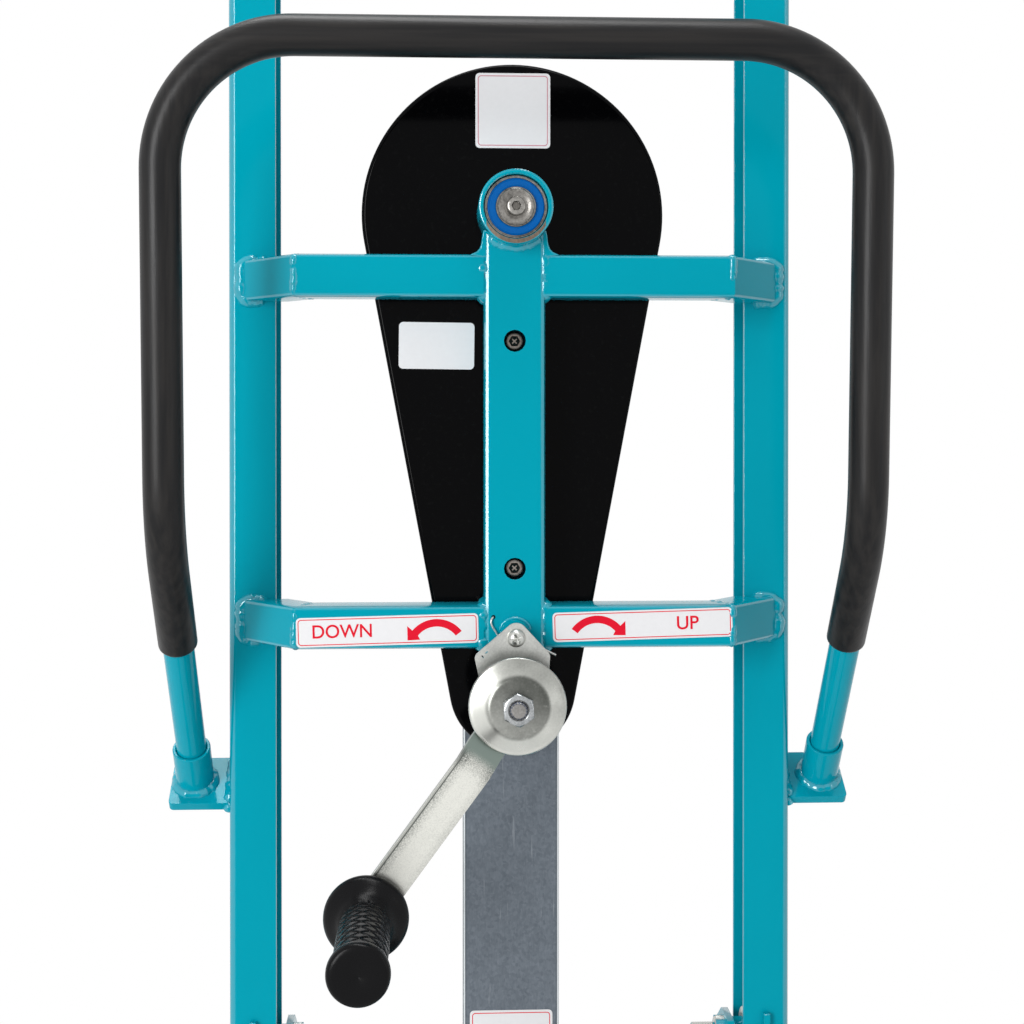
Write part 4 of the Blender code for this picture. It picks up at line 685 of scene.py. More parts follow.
sleeve_path = [handle_path[0] + foot_rise * 0.1636] + handle_path[1:-1] + [handle_path[-1] + foot_fall * 0.1636]
ends = [Vector(p) for p in sleeve_path]
lip_in, lip_out = foot_rise * 0.0015, foot_fall * 0.0015
sleeve_path = [ends[0], ends[0] + lip_in, ends[0] + lip_in * 2] + ends[1:-1]
sleeve_path += [ends[-1] + lip_out * 2, ends[-1] + lip_out, ends[-1]]
last = len(sleeve_path) - 1
sleeve_radius = lambda i: 0.0144 if i in (0, last) else (0.0154 if i in (1, last - 1) else 0.0157)
add_piece("handle_sleeve_soft", pipe(sleeve_path, sleeve_radius, 48), FOAM, stands_for=["handle_sleeve"])
print("handle path has", len(handle_path), "points")

# %% [markdown]
# Weld beads are what shows that the mast is a welded frame. A bead is a thin
# bar whose thickness ripples where each drop of metal froze. The ripple is a
# quick wave plus noise, and the bead is painted with the frame.


# %% Weld beads
def bead(name, path, radius=0.0032, loop=False, ripple=0.0052):
    """A weld along a path, with one ripple each few millimetres."""
    path = [Vector(point) for point in path]
    dense = []
    legs = list(zip(path, path[1:] + path[:1])) if loop else list(zip(path, path[1:]))
    for start, end in legs:
        count = max(1, round((end - start).length / 0.0012))
        dense += [start.lerp(end, i / count) for i in range(count)]
    if not loop:
        dense.append(path[-1])
    smooth = [dense[i - 1] * 0.25 + point * 0.5 + dense[(i + 1) % len(dense)] * 0.25 for i, point in enumerate(dense)]
    if not loop:
        smooth[0], smooth[-1] = dense[0], dense[-1]
    smooth = [point + noise.noise_vector(point * 130) * min(0.16 * radius, 0.0011) for point in smooth]
    travelled, sizes = 0.0, []
    for i, point in enumerate(smooth):
        travelled += (point - smooth[i - 1]).length if i else 0.0
        wobble = noise.noise(point * 170) * min(0.26 * radius, 0.0015)
        wave = min(0.1 * radius, 0.00035) * abs(math.sin(math.pi * travelled / ripple))
        end_fade = 1.0 if loop else min(1.0, 0.5 + 0.16 * min(i, len(smooth) - 1 - i))
        sizes.append((0.94 * radius + wave + wobble) * end_fade)
    return add_piece(name, pipe(smooth, lambda i: sizes[i], 14, loop), PAINT, sharp=80)


print("welds are drawn by", bead.__name__)

# %% [markdown]
# The frame has three kinds of seam. At the post the bar's end meets a flat
# wall, so the weld runs all round it. At the bend two mitred ends meet, and the
# weld there is ground low. At the rail the bar's end lies on the rail's face,
# and the welder could reach only its top, outer end and underside, where the
# beads are thickest.

# %% Seams of the crossbars
for level in ("upper", "lower"):
    low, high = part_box(f"{level}_arm_left")
    back = low.y + 0.035
    for word, side in (("left", -1), ("right", 1)):
        fronts = [(side * 0.0256, low.y + 0.0076, low.z + 0.0035), (side * 0.0256, low.y + 0.0076, high.z - 0.0035)]
        rest = [(side * 0.0226, low.y + 0.0100, high.z - 0.0026), (side * 0.0226, back - 0.0080, high.z - 0.0026)]
        rest += [(side * 0.0250, back - 0.0066, high.z - 0.006), (side * 0.0250, back - 0.0066, low.z + 0.006)]
        rest += [(side * 0.0226, back - 0.0080, low.z + 0.0026), (side * 0.0226, low.y + 0.0100, low.z + 0.0026)]
        bead(f"weld_post_{level}_{word}", fronts + rest, 0.0078, True)
        corners = [v.co for v in nodes[f"{level}_arm_{word}"].data.vertices]
        landing = [abs(c.x) for c in corners if c.y > high.y - 0.0006]
        inner, outer = min(landing), max(landing)
        face = high.y + 0.0026
        seam = [(side * 0.2065, face, high.z - 0.0022), (side * (outer - 0.007), face, high.z - 0.0018)]
        seam += [(side * (outer - 0.002), face, high.z - 0.006), (side * (outer - 0.002), face, low.z + 0.006)]
        seam += [(side * (outer - 0.007), face, low.z + 0.0018), (side * 0.2065, face, low.z + 0.0022)]
        bead(f"weld_rail_{level}_{word}", seam, 0.0074)
        kink = max(abs(c.x) for c in corners if c.y < low.y + 0.0006)
        inner_kink = max(abs(c.x) for c in corners if abs(c.y - back) < 0.0006 and abs(c.x) < kink)
        mitre = [(kink - 0.0018, low.y + 0.0032, z) for z in (low.z + 0.0034, high.z - 0.0034)]
        mitre += [(inner_kink + 0.0018, back - 0.0034, z) for z in (high.z - 0.0034, low.z + 0.0034)]
        bead(f"weld_mitre_{level}_{word}", [(side * x, y, z) for x, y, z in mitre], 0.0038, True)
        print(level, word, "bar bends at x", round(kink, 4), "and lands from x", round(inner, 4), "to", round(outer, 4))

# %% [markdown]
# The shaft's housing stands on the post's top end. A weld runs round it on the
# post's front face, and thick runs fill the corners at both sides down to the
# upper crossbar.

# %% Seams of the housing
ring = [axis_point("Y", (0, 0, SHAFT_Z), 0.0296, math.radians(a), BAR_FRONT + 0.0030) for a in range(226, 315, 4)]
bead("weld_housing_front", ring, 0.0062)
bar_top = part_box("upper_arm_left")[1].z
fillet = [(0.0225, 0.0235), (0.0258, 0.0190), (0.0266, 0.0150), (0.0270, 0.0110), (0.0277, 0.0075), (0.0290, 0.0045),
          (0.0310, 0.0022), (0.0345, 0.0006), (0.0370, -0.0006), (0.0225, -0.0030)]
for word, side in (("left", -1), ("right", 1)):
    outline = [(side * x, z) for x, z in fillet][::-side]
    corner = slab(outline, 0.0300, Matrix.Translation((0, BAR_FRONT + 0.0005, bar_top)))
    round_shown_edges(add_piece(f"weld_neck_{word}", corner, PAINT), 0.0012, 3)
print("housing welded down to z", round(bar_top, 4))

# %% [markdown]
# Each handle foot stands in a short socket on a small plate, and the plate is
# welded to the rail's outer wall. The plate and the socket stand square to the
# leaning foot, so both are drawn upright at the origin and leaned together.

# %% Handle sockets
lean = math.atan2(-foot_rise.y, foot_rise.z)
for word, side in (("left", -1), ("right", 1)):
    foot = handle_path[0 if side < 0 else -1]
    stand = Matrix.Translation(foot) @ Matrix.Rotation(lean, 4, "X")
    inner_edge = 0.2403 - HANDLE_HALF
    plate_outline = rounded_box(0.052, 0.052, 0.004, 4, (side * (inner_edge + 0.026), 0))
    plate = slab(plate_outline, 0.008)
    plate.transform(stand @ Matrix.Rotation(math.radians(90), 4, "X") @ Matrix.Translation((0, -0.004, 0)))
    tube = turned(
        [(0.0128, 0.005), (0.0160, 0.003), (0.0160, 0.0440), (0.0154, 0.0450), (0.0135, 0.0450), (0.0128, 0.0443)],
        "Z", (0, 0, 0), 48, True,
    )
    tube.transform(stand)
    socket = add_piece(f"handle_socket_{word}_welded", join(plate, tube), PAINT_TUBE, stands_for=[f"handle_socket_{word}"])
    round_shown_edges(socket, 0.0007)
    ring = [stand @ Vector((x, y, 0.0026)) for x, y in arc((0, 0), 0.0148, 0, 350, 35)]
    bead(f"weld_socket_{word}", ring, 0.0062, True)
    edge = side * inner_edge
    for face, height in (("top", 0.0048), ("foot", -0.0048)):
        seam = [stand @ Vector((edge - side * 0.0010, y, height * 0.6)) for y in (-0.024, 0.0, 0.024)]
        bead(f"weld_plate_{face}_{word}", seam, 0.0070)
    front_seam = [stand @ Vector((edge, -0.0265, z)) for z in (-0.004, 0.0, 0.004)]
    bead(f"weld_plate_front_{word}", front_seam, 0.0054)
print("handle feet lean", round(math.degrees(lean), 1), "degrees")

# %% [markdown]
# ## Shaft and crank housings
# The post ends in a short length of thick tube that holds the upper shaft's
# ball bearing. Its lip is turned, so it gets a fine chamfer. The bearing shows
# two polished rings with a blue seal between them, sunk by half a millimetre.

# %% Housing, bearing and shaft screw
shaft = (0, 0, SHAFT_Z)
low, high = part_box("shaft_housing")
front, back = low.y, high.y
add_piece("shaft_housing_turned", turned(
    [(0.0260, front + 0.0008), (0.0268, front), (0.0290, front), (0.0299, front + 0.0006),
     (0.03015, front + 0.0018), (0.03015, back), (0.0230, back), (0.0230, front + 0.030), (0.0260, front + 0.030)],
    "Y", shaft, 96, True), PAINT, stands_for=["shaft_housing"])
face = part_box("front_bearing")[0].y
add_piece("front_bearing_rings", join(
    turned([(0.0260, face + 0.0018), (0.0257, face + 0.0008), (0.0251, face + 0.0001), (0.0243, face), (0.0239, face + 0.0003),
            (0.0233, face + 0.0003), (0.0229, face + 0.0008), (0.0229, face + 0.014), (0.0260, face + 0.0150)],
           "Y", shaft, 96, True),
    turned([(0.0163, face + 0.0003), (0.0160, face), (0.0133, face), (0.0128, face + 0.0005), (0.0128, face + 0.0150),
            (0.0163, face + 0.0150)], "Y", shaft, 96, True)), STEEL_TURNED, stands_for=["front_bearing"], sharp=25)
add_piece("front_bearing_seal", turned(
    [(0.0163, face + 0.0008), (0.0172, face + 0.0005), (0.0176, face + 0.0008), (0.0215, face + 0.0008),
     (0.0220, face + 0.0004), (0.0229, face + 0.0009), (0.0229, face + 0.0040), (0.0163, face + 0.0040)],
    "Y", shaft, 96, True), SEAL)
lip = arc((0, 0), 0.0263, 205, 335, 52)
bare_lip = slab(lip + arc((0, -0.0027), 0.0270, 332, 208, 52), 0.0003, Matrix.Translation((0, front - 0.00015, SHAFT_Z)))
add_piece("housing_lip_bare", bare_lip, SCRAPED, sharp=30)
print("bearing face at y", round(face, 4))

# %% [markdown]
# A washer and a socket head screw close the end of the shaft. The head's socket
# is six-sided. A lathe profile gives the round part, and the socket is a
# six-sided ring inside the round one, so the mesh needs no cutting.


# %% Screws with a six-sided socket
def socket_head(centre, front, back, radius, socket, depth, steps=48):
    """A screw head with a chamfered edge and a six-sided socket, seen from the front."""
    circle = lambda r, y: [axis_point("Y", centre, r, 2 * math.pi * i / steps, y) for i in range(steps)]

    def six(size, y):
        ring = []
        for i in range(steps):
            angle = 2 * math.pi * i / steps
            off = (angle % (math.pi / 3)) - math.pi / 6
            ring.append(axis_point("Y", centre, size / math.cos(off), angle, y))
        return ring

    rings = [circle(0.0, back), circle(radius, back), circle(radius, front + 0.0012), circle(radius - 0.0003, front + 0.0004),
             circle(radius - 0.0009, front), six(socket * 1.10, front), six(socket, front + 0.0004),
             six(socket, front + depth), six(socket * 0.30, front + depth + 0.0006), circle(0.0, front + depth + 0.0006)]
    return skin(rings, caps=False)


def recess(centre, front, radius):
    """A dark disc of painted shade part way down a socket."""
    return turned([(0.0, front), (radius, front), (radius, front + 0.0004), (0.0, front + 0.0004)], "Y", centre, 32)


low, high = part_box("shaft_screw")
washer = turned(
    [(0.0040, low.y + 0.0066), (0.0040, low.y + 0.0050), (0.0080, low.y + 0.0050), (0.0098, low.y + 0.0046),
     (0.0118, low.y + 0.0040), (0.0126, low.y + 0.0038), (0.0142, low.y + 0.0038), (0.0149, low.y + 0.0044),
     (0.0149, low.y + 0.0066)], "Y", shaft, 72, True)
head = socket_head(shaft, low.y, low.y + 0.0042, 0.0074, 0.0032, 0.0026)
add_piece("shaft_screw_and_washer", join(washer, head), STEEL_TURNED, "upper_shaft", ["shaft_screw"])
# A dark disc of painted shade sits in the shaft screw's socket.
add_piece("shaft_screw_recess", recess(shaft, low.y + 0.0018, 0.0029), CHAIN, "upper_shaft")
for place in ("upper", "lower"):
    low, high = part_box(f"case_screw_{place}")
    middle = (0, 0, (low.z + high.z) / 2)
    face = BAR_FRONT + 0.0070
    head = socket_head(middle, face, low.y + 0.0078, 0.0076, 0.0038, 0.0030)
    shank = turned([(0.0, low.y + 0.0076), (0.0040, low.y + 0.0076), (0.0040, high.y), (0.0, high.y)], "Y", middle, 24)
    add_piece(f"case_screw_{place}_socket", join(head, shank), BLACK_SCREW, stands_for=[f"case_screw_{place}"])
    # A dark disc of painted shade sits in each case screw's socket.
    add_piece(f"case_screw_{place}_recess", recess(middle, face + 0.0014, 0.0037), PAINTED_SHADE_DARK)
    # A pale star of painted glints lies on each socket's dark floor, in the screw's own finish.
    star = [(r * math.cos(a), r * math.sin(a)) for r, a in
            ((0.0026 if i % 4 in (1, 2) else 0.0008, math.radians(45 + 90 * (i // 4) + (-45, -11, 11, 45)[i % 4])) for i in range(16))]
    glints = slab(star, 0.0004, Matrix.Translation((0, face + 0.0011, middle[2])))
    add_piece(f"case_screw_{place}_star", glints, BLACK_SCREW)

# %% [markdown]
# ## Chain case
# The case is a pressed teardrop: a large circle over the upper shaft's
# sprocket, a small one over the crank's, and straight flanks between them. The
# flank touches both circles, so the angle where the arcs start follows from the
# difference of the radii. Rings from the front face over the rounded edge to
# the back flange give the pressed look.


# %% Chain case cover
def teardrop(top, foot, steps=72):
    """A taut outline round two circles, as offsets in x and z from the upper centre."""
    distance = SHAFT_Z - CRANK_Z
    tilt = math.degrees(math.asin((top - foot) / distance))
    return arc((0, 0), top, -tilt, 180 + tilt, steps) + arc((0, -distance), foot, 180 + tilt, 360 - tilt, steps // 2)


low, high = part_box("chain_case_cover")
case_front, case_round = low.y, 0.004
case_top, case_foot = (high.x - low.x) / 2, SHAFT_Z + (high.x - low.x) / 2 - high.z + CRANK_Z - low.z
rows = [(-case_round * (1 - math.sin(a)), case_front + case_round * (1 - math.cos(a)))
        for a in (math.radians(degrees) for degrees in range(0, 91, 15))]
rows += [(0.0, high.y), (-0.002, high.y), (-0.002, case_front + case_round), (-case_round, case_front + 0.002)]
rings = [[Vector((x, y, SHAFT_Z + z)) for x, z in teardrop(case_top + inset, case_foot + inset)] for inset, y in rows]
wall = skin(rings, caps=False)
bores = [arc((0, 0), 0.0135, 360, 8, 44), arc((0, CRANK_Z - SHAFT_Z), 0.0110, 360, 8, 44)]
sheet = slab(teardrop(case_top - case_round, case_foot - case_round), 0.002,
             Matrix.Translation((0, case_front, SHAFT_Z)), bores)
hem = [f for f in sheet.faces if abs(f.normal.y) < 0.5 and
       min(math.hypot(v.co.x, v.co.z - z) for v in f.verts for z in (SHAFT_Z, CRANK_Z)) > 0.03]
bmesh.ops.delete(sheet, geom=hem, context="FACES_ONLY")
pressed = join(wall, sheet)
bmesh.ops.remove_doubles(pressed, verts=pressed.verts, dist=0.00001)
bmesh.ops.recalc_face_normals(pressed, faces=pressed.faces)
case = add_piece("chain_case_pressed", pressed, GLOSS, stands_for=["chain_case_cover"], sharp=40)
round_shown_edges(case, 0.0003)
print("case front at y", round(case_front, 4), "and its edge at y", round(high.y, 4))

# %% [markdown]
# ## Load brake and crank
# The load brake sits between the post and the crank's arm: a ratchet, a plate
# with the pawl's screw, a friction hub, and on top the arm and a dished cap
# under a hexagon nut. Cap and hub are turned, so they are drawn as profiles,
# with small radii at every corner for the light to catch.

# %% Brake cap and hub
crank = (0, 0, CRANK_Z)
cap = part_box("brake_cap")[0].y
add_piece("brake_cap_dished", turned(
    [(0.0071, cap + 0.0024), (0.0071, cap), (0.0208, cap), (0.0224, cap + 0.0002), (0.0238, cap + 0.0008),
     (0.0252, cap + 0.0016), (0.0352, cap + 0.0074), (0.0364, cap + 0.0079), (0.0376, cap + 0.0082),
     (0.0385, cap + 0.0088), (0.0389, cap + 0.0097), (0.0389, cap + 0.0108), (0.0384, cap + 0.0114),
     (0.0374, cap + 0.0115), (0.0362, cap + 0.0107), (0.0240, cap + 0.0038), (0.0215, cap + 0.0024)],
    "Y", crank, 128, True), ZINC_CAP, "crank", ["brake_cap"], sharp=60)
low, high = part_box("friction_hub")
add_piece("friction_hub_turned", turned(
    [(0.0101, low.y), (0.0182, low.y), (0.0187, low.y + 0.0005), (0.0187, high.y - 0.0085), (0.0254, high.y - 0.0085),
     (0.0260, high.y - 0.0079), (0.0260, high.y - 0.0006), (0.0254, high.y), (0.0101, high.y)],
    "Y", crank, 72, True), STEEL, "crank", ["friction_hub"], sharp=50)
print("cap front at y", round(cap, 4))

# %% [markdown]
# A hexagon nut is a prism whose corners were turned off by a cone. Each ring
# below takes the smaller of the hexagon's radius and the cone's at that depth,
# which gives the curved edges of a real nut without a boolean.

# %% Crank nut and thread
low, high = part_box("crank_nut")


def nut_ring(depth, cone):
    ring = []
    for i in range(72):
        angle = 2 * math.pi * i / 72
        six = 0.01172 / math.cos((angle + math.pi / 6) % (math.pi / 3) - math.pi / 6)
        ring.append(axis_point("Y", crank, min(six, cone), angle + math.radians(4), low.y + depth))
    return ring


bore = lambda depth: [axis_point("Y", crank, 0.0072 - depth * 0.2, 2 * math.pi * i / 72 + math.radians(4), low.y + depth) for i in range(72)]
chamfers = [(0.0, 0.0109), (0.0005, 0.0118), (0.0011, 0.0126), (0.0019, 0.0134), (0.0080, 0.0134), (0.0087, 0.0124)]
nut = skin([bore(0.0016), bore(0.0009), [axis_point("Y", crank, 0.0085, 2 * math.pi * i / 72 + math.radians(4), low.y)
                                           for i in range(72)]] + [nut_ring(*c) for c in chamfers] + [bore(0.0087)], loop=True)
add_piece("crank_nut_chamfered", nut, ZINC_NUT, "crank", ["crank_nut"], sharp=30)
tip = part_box("crank_shaft")[0].y
profile = [(0.0, tip + 0.0003), (0.0050, tip + 0.0002), (0.0057, tip), (0.00685, tip + 0.0011)]
for turn_number in range(6):
    start = tip + 0.0013 + 0.00125 * turn_number
    profile += [(0.0062, start + 0.0003), (0.00685, start + 0.0009), (0.00685, start + 0.0011)]
profile += [(0.0, profile[-1][1])]
add_piece("crank_thread_end", turned(profile, "Y", crank, 48), SAWN, "crank", sharp=20)
print("thread ends at y", round(tip, 4))

# %% [markdown]
# The grip is moulded rubber that turns on its pin: a bowl-shaped flange keeps
# the hand off the arm, a round end keeps it on, and the body between them is
# covered in staggered scales, eight in a row. The scales are real relief. Two
# families of helical grooves cross, and the body stands proud between them.

# %% Crank grip
low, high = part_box("crank_grip")
grip_end, grip_start = low.y, high.y
grip_length = grip_start - grip_end
grip_profile = [(0.0, 0.0006), (0.0010, 0.0005), (0.0015, 0.0002), (0.0175, 0.0), (0.0202, 0.0004), (0.0220, 0.0018),
                (0.0229, 0.0042), (0.0230, 0.0070), (0.0226, 0.0100), (0.0216, 0.0124), (0.0202, 0.0144)]
grip_profile += [(0.0194 + 0.0008 * math.sin(math.pi * i / 74), 0.0158 + 0.0962 * i / 74) for i in range(75)]
grip_profile += [(0.0200, 0.1142), (0.0215, 0.1172), (0.0245, 0.1206), (0.0280, 0.1238), (0.0308, 0.1262),
                 (0.0324, 0.1280), (0.0333, 0.1302), (0.0334, 0.1322), (0.0328, 0.1340), (0.0312, grip_length),
                 (0.0063, grip_length)]


def scale_relief(angle, along):
    """0 in a groove and 1 on a scale."""
    around, down = 8 * angle / (2 * math.pi), along / 0.0120
    edges = []
    for lean_way in (around + down, around - down):
        edges.append(1 - abs(2 * (lean_way % 1) - 1))
    share = min(1, min(edges) / 0.26)
    inside = min(1, max(0, min(along - 0.0165, 0.1115 - along) / 0.0015))
    return share * share * (3 - 2 * share) * inside


rings = []
for radius, along in grip_profile:
    ring = []
    for i in range(144):
        angle = 2 * math.pi * i / 144
        proud = 0.0 if along < 0.0150 or along > 0.1130 else 0.0017 * (scale_relief(angle, along) - 1)
        ring.append(axis_point("Y", (GRIP_X, 0, GRIP_Z), radius + proud, angle, grip_end + along))
    rings.append(ring)
add_piece("crank_grip_scaled", skin(rings, caps=False), RUBBER, "grip", ["crank_grip"], sharp=60)
print("grip runs from y", round(grip_end, 4), "to", round(grip_start, 4))

# %% [markdown]
# The pawl's plate is a stamped, zinc plated triangle. Its outline is a taut
# band round four circles, so it is found as the convex hull of points on those
# circles. Two small slots at its left corner are real openings.


# %% Pawl plate
def taut_band(circles):
    """The outline of a band round circles of (x, z, radius)."""
    points = [p for x, z, r in circles for p in arc((x, z), r, 0, 356, 89)]
    points = sorted(set(points))

    def chain(some):
        kept = []
        for point in some:
            while len(kept) > 1:
                (ax, az), (bx, bz) = kept[-2:]
                if (bx - ax) * (point[1] - az) - (bz - az) * (point[0] - ax) > 0:
                    break
                kept.pop()
            kept.append(point)
        return kept

    return chain(points)[:-1] + chain(points[::-1])[:-1]


def hole(x, z, radius, steps=24):
    return arc((x, z), radius, 0, 360 - 360 / steps, steps - 1)[::-1]


def slot_hole(x, z, long, wide, turn):
    spots = arc((long / 2, 0), wide, -90, 90, 6) + arc((-long / 2, 0), wide, 90, 270, 6)
    c, s = math.cos(turn), math.sin(turn)
    return [(x + c * a - s * b, z + s * a + c * b) for a, b in spots][::-1]


plate_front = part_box("pawl_plate")[0].y
outline = taut_band([(0, 0, 0.0250), (0.0218, 0.0356, 0.0055), (0, 0.054, 0.0090), (-0.0272, 0.0345, 0.0060)])
holes = [hole(0, 0, 0.0207, 40), hole(0, 0.051, 0.0043, 20),
         slot_hole(-0.0238, 0.0395, 0.0016, 0.0005, math.radians(40)), slot_hole(-0.0270, 0.0360, 0.0016, 0.0005, math.radians(-50))]
plate = slab(outline, 0.003, Matrix.Translation((0, plate_front, CRANK_Z)), holes)
pawl_plate = add_piece("pawl_plate_stamped", plate, ZINC, stands_for=["pawl_plate"])
round_shown_edges(pawl_plate, 0.0004)
print("plate outline has", len(outline), "points")

# %% [markdown]
# The pawl's screw has a rounded head with a cross recess. The recess is four
# dark notches pressed into the dome: rings whose radius stays and whose depth
# drops near the two crossing lines.

# %% Pawl screw
low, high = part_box("pawl_screw")
pawl_axis = (0, 0, (low.z + high.z) / 2)
rings = []
for radius, rise in [(0.0, 0.0), (0.0006, 0.0), (0.0012, 0.0), (0.0018, 0.0), (0.0024, 0.0001), (0.0030, 0.0002), (0.0036, 0.0005),
                     (0.0042, 0.0008), (0.0052, 0.0015), (0.0062, 0.0025), (0.0070, 0.0037), (0.0074, 0.0047), (0.0075, 0.0058), (0.0040, 0.0058)]:
    ring = []
    for i in range(64):
        angle = 2 * math.pi * i / 64 + math.radians(20)
        x, z = radius * math.cos(angle - math.radians(20)), radius * math.sin(angle - math.radians(20))
        notch = min(abs(x), abs(z))
        sunk = 0.0034 * max(0, 1 - radius / 0.0050) if notch < 0.00090 or radius < 0.0013 else 0.0
        ring.append(axis_point("Y", pawl_axis, radius, angle, low.y + rise + sunk))
    rings.append(ring)
rings += [[axis_point("Y", pawl_axis, 0.0040, 2 * math.pi * i / 64, high.y) for i in range(64)]]
add_piece("pawl_screw_cross", skin(rings, caps=False), ZINC, stands_for=["pawl_screw"], sharp=30)
boss_ring = [axis_point("Y", pawl_axis, 0.0130, math.radians(a), BAR_FRONT - 0.0006) for a in range(15, 166, 10)]
bead("weld_pawl_boss", boss_ring, 0.0019)
print("screw head at y", round(low.y, 4))

# %% [markdown]
# The pawl's spring is one bent wire. It hooks into a hole in the post, bends
# round the boss behind the plate, and its cut end shows at the plate's right.

# %% Pawl spring
wire_radius = 0.0009
pivot = Vector((0, 0, CRANK_Z + 0.051))
back = BAR_FRONT - 0.0003 - wire_radius
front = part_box("pawl_spring")[0].y + wire_radius
hook = [(-0.0176, BAR_FRONT + 0.0040, 0.0142), (-0.0176, BAR_FRONT + 0.0004, 0.0142), (-0.0182, back + 0.0004, 0.0138),
        (-0.0193, back - 0.0004, 0.0122), (-0.0196, back - 0.0006, 0.0100), (-0.0189, back - 0.0005, 0.0076),
        (-0.0174, back - 0.0002, 0.0050), (-0.0158, back, 0.0026), (-0.0146, back, 0.0006)]
spring_path = [pivot + Vector((x, y - pivot.y, z)) for x, y, z in hook]
for step in range(31):
    share = step / 30
    turn = math.radians(184) + share * math.radians(150)
    spring_path.append(pivot + Vector((0.0139 * math.cos(turn), back + (front - back) * share, 0.0139 * math.sin(turn))))
spring_path += [pivot + Vector((0.0330 * s + 0.0139 * math.cos(turn) * (1 - s), front, -0.0162 * s + 0.0139 * math.sin(turn) * (1 - s)))
                for s in (0.35, 0.7, 1.0)]
add_piece("pawl_spring_wire", pipe(spring_path, wire_radius, 12), SPRING_WIRE, stands_for=["pawl_spring"])
# A dark disc of painted shadow fills the mouth of the spring's hole.
hole_dark = turned([(0.0, BAR_FRONT - 0.00015), (0.0017, BAR_FRONT - 0.00015), (0.0017, BAR_FRONT + 0.0005), (0.0, BAR_FRONT + 0.0005)],
                   "Y", (-0.0176, 0, CRANK_Z + 0.0652), 24)
add_piece("spring_hole_shadow", hole_dark, PAINTED_SHADE_DARK)
low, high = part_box("crank_housing")
add_piece("crank_housing_turned", turned(
    [(0.0203, low.y), (0.0243, low.y), (0.0248, low.y + 0.0003), (0.0250, low.y + 0.0010), (0.0250, high.y), (0.0203, high.y)],
    "Y", crank, 96, True), PAINT, stands_for=["crank_housing"])
print("spring has", len(spring_path), "points")

# %% [markdown]
# ## Wheels and rollers
# Each rear wheel is a moulded rim in a rubber tyre. The tread is relief: two
# grooves run round the tyre and short grooves cross its shoulders. The rim's
# web gets six pockets, as a moulding has so that it cools evenly.


# %% Rear wheels
def tyre(centre_x, side):
    bead_half, wide = 0.0259, 0.0424
    profile = [(0.0604, bead_half), (0.0712, bead_half), (0.0735, 0.0272), (0.0860, 0.0380), (0.0980, 0.0416), (0.1080, 0.0424),
               (0.1150, 0.0418), (0.1205, 0.0398), (0.1240, 0.0370), (0.1262, 0.0335), (0.1275, 0.0290), (0.1284, 0.0240),
               (0.1290, 0.0180), (0.1290, 0.0140), (0.1294, 0.0132), (0.1298, 0.0090), (0.1300, 0.0040)]
    profile += [(r, -a) for r, a in reversed(profile)]
    rings = []
    for radius, along in profile:
        ring = []
        for i in range(160):
            angle = 2 * math.pi * i / 160
            depth = 0.0
            if radius > 0.1200:
                groove_round = 0.0135 < abs(along) < 0.0185
                across = (i + (2 if along > 0 else 0)) % 5 == 0 and abs(along) > 0.0185
                depth = 0.0030 if groove_round or across else 0.0
            ring.append(axis_point("X", (0, AXLE.y, AXLE.z), radius - depth, angle, centre_x + along))
        rings.append(ring)
    return skin(rings, caps=False)


def rim(centre_x, side):
    """A disc with a hub. Its web stands back between six ribs."""
    half = [(0.0104, 0.0375), (0.0190, 0.0375), (0.0214, 0.0367), (0.0220, 0.0350), (0.0226, 0.0130), (0.0260, 0.0085),
            (0.0300, 0.0075), (0.0400, 0.0075), (0.0480, 0.0085), (0.0530, 0.0130), (0.0556, 0.0310), (0.0572, 0.0322),
            (0.0680, 0.0326), (0.0695, 0.0318), (0.0700, 0.0300), (0.0700, 0.0268), (0.0602, 0.0258)]
    rings = []
    for radius, along in half + [(r, -a) for r, a in reversed(half)]:
        ring = []
        for i in range(144):
            angle = 2 * math.pi * i / 144
            rib = abs((3 * angle / math.pi) % 1 - 0.5) < 0.06
            height = along
            if rib and 0.0222 < radius < 0.0556 and abs(along) < 0.030:
                height = math.copysign(max(abs(along), 0.0240 - 0.10 * (radius - 0.0222)), along)
            ring.append(axis_point("X", (0, AXLE.y, AXLE.z), radius, angle, centre_x + height))
        rings.append(ring)
    return skin(rings, loop=True)


for word, side in (("left", -1), ("right", 1)):
    low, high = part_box(f"wheel_tyre_{word}")
    AXLE = (low + high) / 2
    add_piece(f"wheel_tyre_{word}_treaded", tyre(AXLE.x, side), TYRE, f"wheel_{word}", [f"wheel_tyre_{word}"], sharp=30)
    add_piece(f"wheel_rim_{word}_moulded", rim(AXLE.x, side), RIM, f"wheel_{word}", [f"wheel_rim_{word}"], sharp=30)
print("wheel centre", tuple(round(v, 4) for v in AXLE))

# %% [markdown]
# The front rollers are turned from nylon, with a shallow dish round the hub.
# The carriage's rollers are steel, with a sealed bearing's rings and seal on
# each face. They ride inside the rails.

